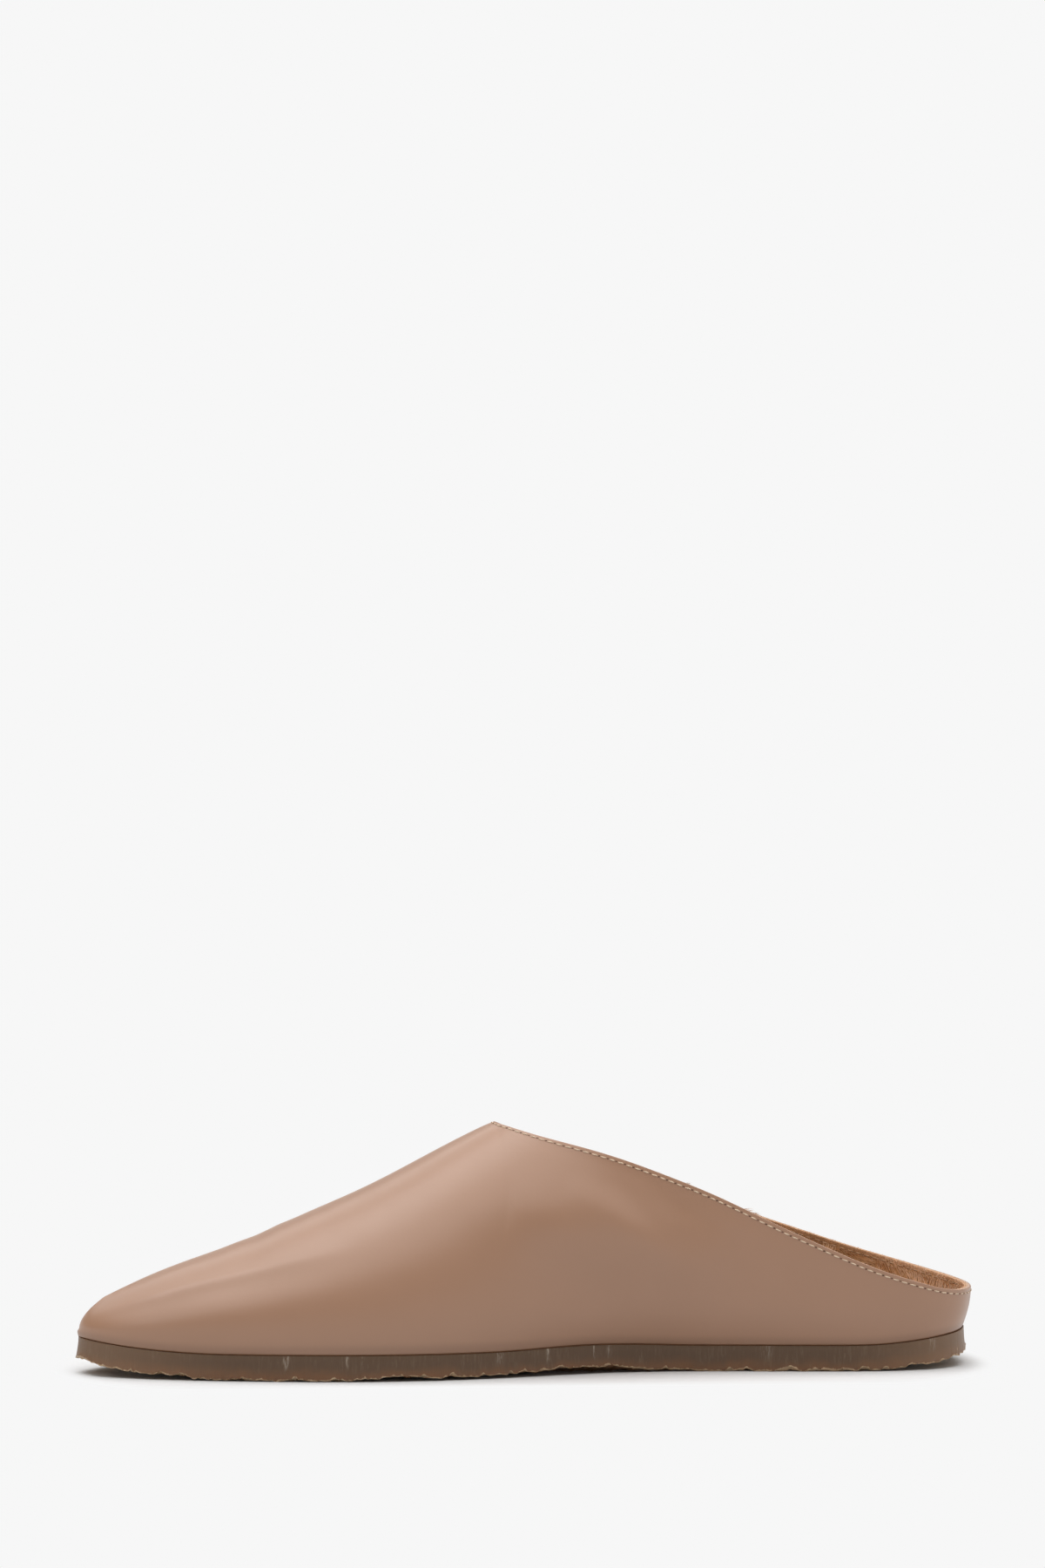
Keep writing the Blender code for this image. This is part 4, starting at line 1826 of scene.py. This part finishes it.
        # A blade is a strip of triangles that runs to one point at the tip.
        per_hair = len(rows)
        points = np.stack(rows, axis=1).reshape(-1, 3)
        strip = []
        for joint in range(cut.joints - 1):
            low = 2 * joint
            strip += [(low, low + 1, low + 3), (low, low + 3, low + 2)]
        strip.append((per_hair - 3, per_hair - 2, per_hair - 1))
        faces = (np.arange(count)[:, None, None] * per_hair + np.array(strip)[None]).reshape(-1, 3)
        mesh = bpy.data.meshes.new(name)
        mesh.vertices.add(len(points))
        mesh.vertices.foreach_set("co", points.astype(np.float32).ravel())
        mesh.loops.add(faces.size)
        mesh.loops.foreach_set("vertex_index", faces.astype(np.int32).ravel())
        mesh.polygons.add(len(faces))
        mesh.polygons.foreach_set("loop_start", np.arange(0, faces.size, 3, dtype=np.int32))
        mesh.update(calc_edges=True)
        mesh.shade_smooth()
        tone = cut.tone + 0.35 * wander(roots, 6 * MM, cut.seed + 3) + rng.normal(0, 0.16, count)
        # Painted light: hairs towards the heel are paled, as lit hair looks, with some wear.
        tone += self.worn_and_lit * smooth_step(roots[:, 0], self.worn_and_lit_from, self.worn_and_lit_to)
        store(mesh, "tone", np.repeat(np.clip(tone, 0, 1), per_hair))
        store(mesh, "along", np.tile(np.append(np.repeat(levels[:-1], 2), 1.0), count))
        mesh.materials.append(finish)
        place_piece(add_object(name, mesh), "clipped_hair")

    def _strays(self, finish: bpy.types.Material) -> None:
        """Grows the few hairs that stand up over the topline, and the fuzz along its inner edge.

        Args:
            finish: The material.
        """
        rng = np.random.default_rng(5)
        rim = self.upper.inner_rim
        near, tuft = (
            rim[(rim[:, 1] < 0) & (rim[:, 0] > start) & (rim[:, 0] < end)]
            for start, end in (self.stray_span, self.tuft_span)
        )
        back = rim[rim[:, 0] > self.fuzz_from]
        # The name, the stretch of topline, how many, how long, how wide, how deep the roots are.
        for name, line, count, length, width, sink in (
            ("stray_tuft", tuft, 9, 2.3 * MM, 0.15 * MM, 0.7 * MM),
            ("stray_hairs", near, 10, 1.2 * MM, 0.12 * MM, 0.6 * MM),
            ("edge_fuzz", back, 260, 0.75 * MM, 0.10 * MM, 0.25 * MM),
        ):
            roots = line[rng.integers(0, len(line), count)] - (0, 0, sink)
            inward = np.column_stack([np.zeros(count), -np.sign(roots[:, 1]), np.zeros(count)])
            cut = HairCut(count, length, width, 0.25, 0.8, 0.0, 31, tone=0.95)
            comb = np.tile(self.stray_comb, (count, 1))
            self._grow(name, cut, roots, inward, comb, finish)


# --------------------------------------------------------------------------------------------
# The sole and the footbed
# --------------------------------------------------------------------------------------------


@dataclass
class Footbed:
    """The hair-covered footbed, a little crowned over its board."""

    node: str = "insole"
    edge_round: float = 0.6 * MM
    sharp: float = math.radians(50)
    levels: int = 2
    piece: bpy.types.Object = field(init=False)

    def build(self) -> None:
        """Makes the footbed and ties it to the frame."""
        self.piece = copy_of_node(self.node, "footbed")
        with editing(self.piece) as mesh:
            shape = bmesh.from_edit_mesh(mesh)
            rim = {edge.index for edge in shape.edges if edge.calc_face_angle(0.0) > self.sharp}
            select_edges(mesh, rim)
            bpy.ops.mesh.bevel(offset=self.edge_round, segments=2, affect="EDGES")
        apply_modifier(self.piece, "SUBSURF", levels=self.levels, render_levels=self.levels)
        self.piece.data.materials.append(LiningSkin().build())
        store(self.piece.data, "rim_gap", np.full(len(self.piece.data.vertices), 1.0))
        place_piece(self.piece, "clipped_hair", self.node)


@dataclass
class CrepeSole:
    """The crepe sole: a clean cut side, a torn lip round its foot, and pebbles near the rim."""

    node: str = "outsole"
    levels: int = 3
    top_round: float = 0.22 * MM
    bed_span: int = 96
    torn_share: float = 0.36
    # The torn lip's height: scallops round a mean, fine teeth, and what each kind of tear adds.
    scallop: float = 0.275 * MM
    scallops: Layers = ((0.275 * MM, 15 * MM, 9.7), (0.2475 * MM, 6 * MM, 2.2))
    teeth: Layers = ((0.26 * MM, 1.6 * MM, 4.4), (0.182 * MM, 0.8 * MM, 7.9))
    crack: float = 0.80 * MM
    nick: float = 0.40 * MM
    flap: float = 0.16 * MM
    waist_tear: float = 1.15 * MM
    waist_front: tuple[float, float] = (-62 * MM, -38 * MM)
    waist_back: tuple[float, float] = (22 * MM, 48 * MM)
    tear_reach: float = 2.6 * MM
    # How far the torn lip curls in and out, and the cutter dragged the side.
    curl: Layers = ((0.34 * MM, 1.9 * MM, 5.5), (0.20 * MM, 0.9 * MM, 2.5))
    curl_share: float = 0.16
    drag: Layers = ((0.04 * MM, 1.1 * MM, 3.3), (0.10 * MM, 13 * MM, 2.8))
    pebble: float = 0.35 * MM
    piece: bpy.types.Object = field(init=False)

    def build(self) -> None:
        """Makes the sole and ties it to the frame."""
        self.piece = copy_of_node(self.node, "crepe_sole")
        self._open_and_mark()
        apply_modifier(
            self.piece, "SUBSURF", levels=self.levels, render_levels=self.levels, quality=4
        )
        self._close_underside()
        self._refine_foot()
        self._tear()
        self.piece.data.materials.append(CrepeRubber().build())
        place_piece(self.piece, "crepe_rubber", self.node)

    def _open_and_mark(self) -> None:
        """Takes the flat underside off, marks each point's height up the side, rounds the top."""
        with editing(self.piece) as mesh:
            shape = bmesh.from_edit_mesh(mesh)
            select_faces(mesh, {face.index for face in shape.faces if face.normal.z < -0.7})
            bpy.ops.mesh.delete(type="ONLY_FACE")
            shape = bmesh.from_edit_mesh(mesh)
            up = shape.verts.layers.float.new("up")
            low = {vert for vert in shape.verts if vert.is_boundary}
            middle = {edge.other_vert(vert) for vert in low for edge in vert.link_edges} - low
            for vert in shape.verts:
                vert[up] = 0.0 if vert in low else 0.5 if vert in middle else 1.0
            bmesh.update_edit_mesh(mesh)
            top = {
                edge.index
                for edge in shape.edges
                if len(edge.link_faces) == 2
                and max(face.normal.z for face in edge.link_faces) > 0.7
                and min(face.normal.z for face in edge.link_faces) < 0.5
            }
            select_edges(mesh, top)
            bpy.ops.mesh.bevel(offset=self.top_round, segments=2, affect="EDGES")

    def _close_underside(self) -> None:
        """Fills the open underside with an even grid, marked as lying under the side."""
        walls = len(self.piece.data.vertices)
        with editing(self.piece) as mesh:
            bpy.ops.mesh.select_mode(type="VERT")
            shape = bmesh.from_edit_mesh(mesh)
            edges = [edge for edge in shape.edges if edge.is_boundary]
            line = walk([(edge.verts[0].index, edge.verts[1].index) for edge in edges])
            shape.verts.ensure_lookup_table()
            # The grid's first corner is half a span from the toe, so its rows run across.
            toe = min(range(len(line)), key=lambda place: shape.verts[line[place]].co.x)
            corner = shape.verts[line[(toe - self.bed_span // 2) % len(line)]]
            for edge in edges:
                edge.select_set(True)
            shape.select_history.clear()
            shape.select_history.add(corner)
            bmesh.update_edit_mesh(mesh)
            bpy.ops.mesh.fill_grid(span=self.bed_span, offset=0)
            shape = bmesh.from_edit_mesh(mesh)
            up = shape.verts.layers.float["up"]
            for vert in shape.verts:
                if vert.index >= walls:
                    vert[up] = -1.0
            bmesh.update_edit_mesh(mesh)
        self.piece.data.shade_smooth()

    def _refine_foot(self) -> None:
        """Halves the spacing along the foot of the side, where the tear needs it."""
        with editing(self.piece) as mesh:
            shape = bmesh.from_edit_mesh(mesh)
            up = shape.verts.layers.float["up"]
            wanted = set()
            for edge in shape.edges:
                first, second = edge.verts
                level = abs(first[up] - second[up]) < 0.001
                if level and 0 <= first[up] < self.torn_share:
                    wanted.add(edge.index)
            select_edges(mesh, wanted)
            bpy.ops.mesh.subdivide(number_cuts=1)

    def _torn_height(self, places: Array) -> Array:
        """Says how far the torn lip stands above the tread, all round.

        Args:
            places: Points on the lower edge.

        Returns:
            One height each.
        """
        plan = places * np.array([1.0, 1.0, 0.0])
        height = self.scallop + layered(plan, self.scallops) + layered(plan, self.teeth)
        # Cracks and nicks open where a slow noise passes through nought.
        height += self.crack * np.exp(-((wander(plan, 7 * MM, 6.1) / 0.09) ** 2))
        height += self.nick * np.exp(-((wander(plan, 3.4 * MM, 3.8) / 0.14) ** 2))
        height += self.flap * np.clip(4 * wander(plan, 5 * MM, 8.8), -1, 1)
        # The waist of the foot, between ball and heel, is torn highest.
        along = places[:, 0]
        waist = smooth_step(along, *self.waist_front) * (1 - smooth_step(along, *self.waist_back))
        height += self.waist_tear * waist * (0.75 + 0.25 * wander(plan, 17 * MM, 1.3))
        return np.maximum(height, 0.02 * MM)

    def _tear(self) -> None:
        """Tears the lower edge, roughens the side and pebbles the underside near its rim."""
        mesh = self.piece.data
        points, outward = points_of(mesh), normals_of(mesh)
        up = read(mesh.attributes["up"].data, "value")
        side = up > -0.5
        ring = points[(up > -0.001) & (up < 0.001)]
        heading = np.argsort(np.arctan2(ring[:, 1], ring[:, 0]))
        fine_ring = spaced_line(ring[heading], 0.25 * MM)
        gap, nearest = distance_to(points, fine_ring)
        inset = np.where(side, 0.0, gap)
        low = np.clip(1 - up, 0, 1)
        fall = np.where(side, low**2.2, 1 - smooth_step(inset, 0.3 * MM, self.tear_reach))
        points[:, 2] += self._torn_height(fine_ring)[nearest] * fall
        level = np.array([1.0, 1.0, 0.0])
        lip = np.clip(1 - up / self.curl_share, 0, 1) * side
        dragged = smooth_step(low, 0.0, 0.2) * side
        push = layered(points, self.curl) * lip + layered(points * level, self.drag) * dragged
        points += outward * level * push[:, None]
        bed = ~side
        pebbled = np.abs(wander(points[bed], 2.6 * MM, 1.9))
        pebbled += 0.5 * np.abs(wander(points[bed], 1.3 * MM, 7.3))
        points[bed, 2] += self.pebble * pebbled * smooth_step(inset[bed], 0.2 * MM, 1.5 * MM)
        # The middle of the underside lies below the floor, so this leaves it flat, with no pebbles.
        points[:, 2] = np.maximum(points[:, 2], 0.0)
        set_points(mesh, points)
        store(mesh, "up", np.clip(up, 0, 1))
        store(mesh, "inset", inset)


@dataclass
class SeamShadeBead:
    """A dark bead of painted shade in the gap where the turned foot of the leather meets the crepe.
    """

    upper: LeatherUpper
    sole: CrepeSole
    thickness: float = 0.34 * MM
    lifted: float = 0.153 * MM
    set_back: float = 0.30 * MM
    step: float = 1.2 * MM

    def build(self) -> None:
        """Lays the bead in the gap, on the crepe and behind the leather's rounded foot."""
        line = spaced_line(self.upper.meeting_line(Zone.OUTSIDE, Zone.TURNED_EDGE), self.step)
        sole = BVHTree.FromObject(self.sole.piece, bpy.context.evaluated_depsgraph_get())
        curve = bpy.data.curves.new("painted_seam_shade_bead", "CURVE")
        curve.dimensions = "3D"
        curve.bevel_depth = self.thickness / 2
        curve.bevel_resolution = 2
        spline = curve.splines.new("POLY")
        spline.points.add(len(line) - 1)
        spline.use_cyclic_u = True
        for number, place in enumerate(line):
            ahead = line[(number + 1) % len(line)] - line[number - 1]
            # Inward is towards the middle, on a shoe about three times as long as it is wide.
            inward = Vector((-ahead[1], ahead[0], 0)).normalized()
            if inward.dot(Vector((-place[0] / 3, -place[1], 0))) < 0:
                inward = -inward
            seat = Vector(place) + inward * self.set_back
            hit = sole.ray_cast(seat, Vector((0, 0, -1)))[0]
            seat.z = hit.z + self.lifted
            spline.points[number].co = (*seat, 1.0)
        bead = add_object("painted_seam_shade_bead", curve)
        bpy.ops.object.select_all(action="DESELECT")
        bead.select_set(True)
        bpy.context.view_layer.objects.active = bead
        bpy.ops.object.convert(target="MESH")
        bead = bpy.context.object
        bead.data.shade_smooth()
        bead.data.materials.clear()
        bead.data.materials.append(SeamShadeFinish().build())
        place_piece(bead, "crepe_rubber")


# --------------------------------------------------------------------------------------------
# The studio
# --------------------------------------------------------------------------------------------


@dataclass(frozen=True)
class Softbox:
    """One rectangular lamp with a diffuser, aimed at the shoe."""

    name: str
    place: tuple[float, float, float]
    size: tuple[float, float]
    watts: float


@dataclass
class Studio:
    """A seamless white sweep all round, softboxes, and a level camera just above the shoe."""

    eye: tuple[float, float, float] = (-0.1403, -1.5938, 0.173)
    yaw: float = math.radians(-5)
    lens: float = 123.0
    sensor: float = 36.0
    aim: tuple[float, float, float] = (0.0, 0.0, 0.03)
    sweep_radius: float = 6.0
    sweep_height: float = 1.4
    sweep_bend: float = 0.9
    sweep_border: float = 0.3
    sweep_sides: int = 96
    softboxes: tuple[Softbox, ...] = (
        Softbox("overhead", (0.0, 0.09, 1.05), (2.1, 0.77), 16.7),
        Softbox("overhead_back", (0.0, 0.6, 1.0), (2.0, 0.3), 0.7),
        Softbox("back_top", (0.0, 1.1, 0.9), (2.0, 0.35), 5.4),
        Softbox("front_top", (-0.1, -0.65, 1.0), (1.2, 0.5), 4.1),
        Softbox("front_toe", (-0.95, -0.55, 0.75), (0.6, 0.5), 2.2),
        Softbox("front_heel", (0.85, -0.6, 0.8), (0.6, 0.5), 1.2),
        Softbox("heel_side", (1.2, -0.05, 0.5), (0.6, 0.8), 1.3),
    )

    def build(self) -> None:
        """Makes the sweep, the lamps, the camera and a world that adds no light."""
        self._sweep()
        for softbox in self.softboxes:
            self._lamp(softbox)
        self._camera()
        world = bpy.data.worlds.new("studio")
        world.use_nodes = True
        world.node_tree.nodes["Background"].inputs["Strength"].default_value = 0.0
        bpy.context.scene.world = world
        bpy.context.scene.view_settings.view_transform = "Standard"

    def _sweep(self) -> None:
        """Makes the paper: a round floor that bends up into a low wall all the way round."""
        bpy.ops.object.select_all(action="DESELECT")
        bpy.ops.mesh.primitive_circle_add(
            vertices=self.sweep_sides, radius=self.sweep_radius, fill_type="NGON"
        )
        floor = bpy.context.object
        floor.name = "paper_sweep"
        with editing(floor) as mesh:
            shape = bmesh.from_edit_mesh(mesh)
            select_edges(mesh, {edge.index for edge in shape.edges})
            bpy.ops.mesh.extrude_edges_move(
                TRANSFORM_OT_translate={"value": (0, 0, self.sweep_height)}
            )
            shape = bmesh.from_edit_mesh(mesh)
            low = [edge for edge in shape.edges if max(vert.co.z for vert in edge.verts) < MM]
            select_edges(mesh, {edge.index for edge in low})
            bpy.ops.mesh.bevel(offset=self.sweep_bend, segments=16, affect="EDGES")
            shape = bmesh.from_edit_mesh(mesh)
            select_faces(mesh, {face.index for face in shape.faces if face.normal.z > 0.9999})
            bpy.ops.mesh.inset(thickness=self.sweep_border)
        floor.data.shade_smooth()
        floor.data.materials.append(SeamlessPaper().build())

    def _lamp(self, softbox: Softbox) -> None:
        """Hangs one softbox and turns it to the shoe.

        Args:
            softbox: Its place, size and power.
        """
        lamp = bpy.data.lights.new(softbox.name, "AREA")
        lamp.shape = "RECTANGLE"
        lamp.size, lamp.size_y = softbox.size
        lamp.energy = softbox.watts
        holder = add_object(softbox.name, lamp)
        holder.location = softbox.place
        aim = Vector(self.aim) - Vector(softbox.place)
        holder.rotation_euler = aim.to_track_quat("-Z", "Y").to_euler()

    def _camera(self) -> None:
        """Sets the camera up, level and turned a little to the heel."""
        lens = bpy.data.cameras.new("camera")
        lens.lens = self.lens
        lens.sensor_width = self.sensor
        lens.clip_start, lens.clip_end = 0.05, 20.0
        holder = add_object("camera", lens)
        holder.location = self.eye
        holder.rotation_euler = (math.pi / 2, 0, self.yaw)
        bpy.context.scene.camera = holder


def main() -> None:
    """Builds the shoe and the studio."""
    logging.basicConfig(level=logging.INFO, format="%(name)s: %(message)s")
    bpy.ops.object.select_all(action="DESELECT")
    upper = LeatherUpper()
    upper.build()
    sole = CrepeSole()
    sole.build()
    # A dark bead lies in the gap between leather and crepe as painted shade for it.
    SeamShadeBead(upper, sole).build()
    footbed = Footbed()
    footbed.build()
    cream = WaxedThread("cream_thread", "#ceb69c")
    CollarStitching(upper, Zone.OUTSIDE, cream, "collar", 1.30 * MM).build()
    dull = WaxedThread("lining_thread", "#b08a68")
    CollarStitching(upper, Zone.INSIDE, dull, "lining", 1.40 * MM).build()
    HairLining(upper, footbed.piece).build()
    Studio().build()


if __name__ == "__main__":
    main()
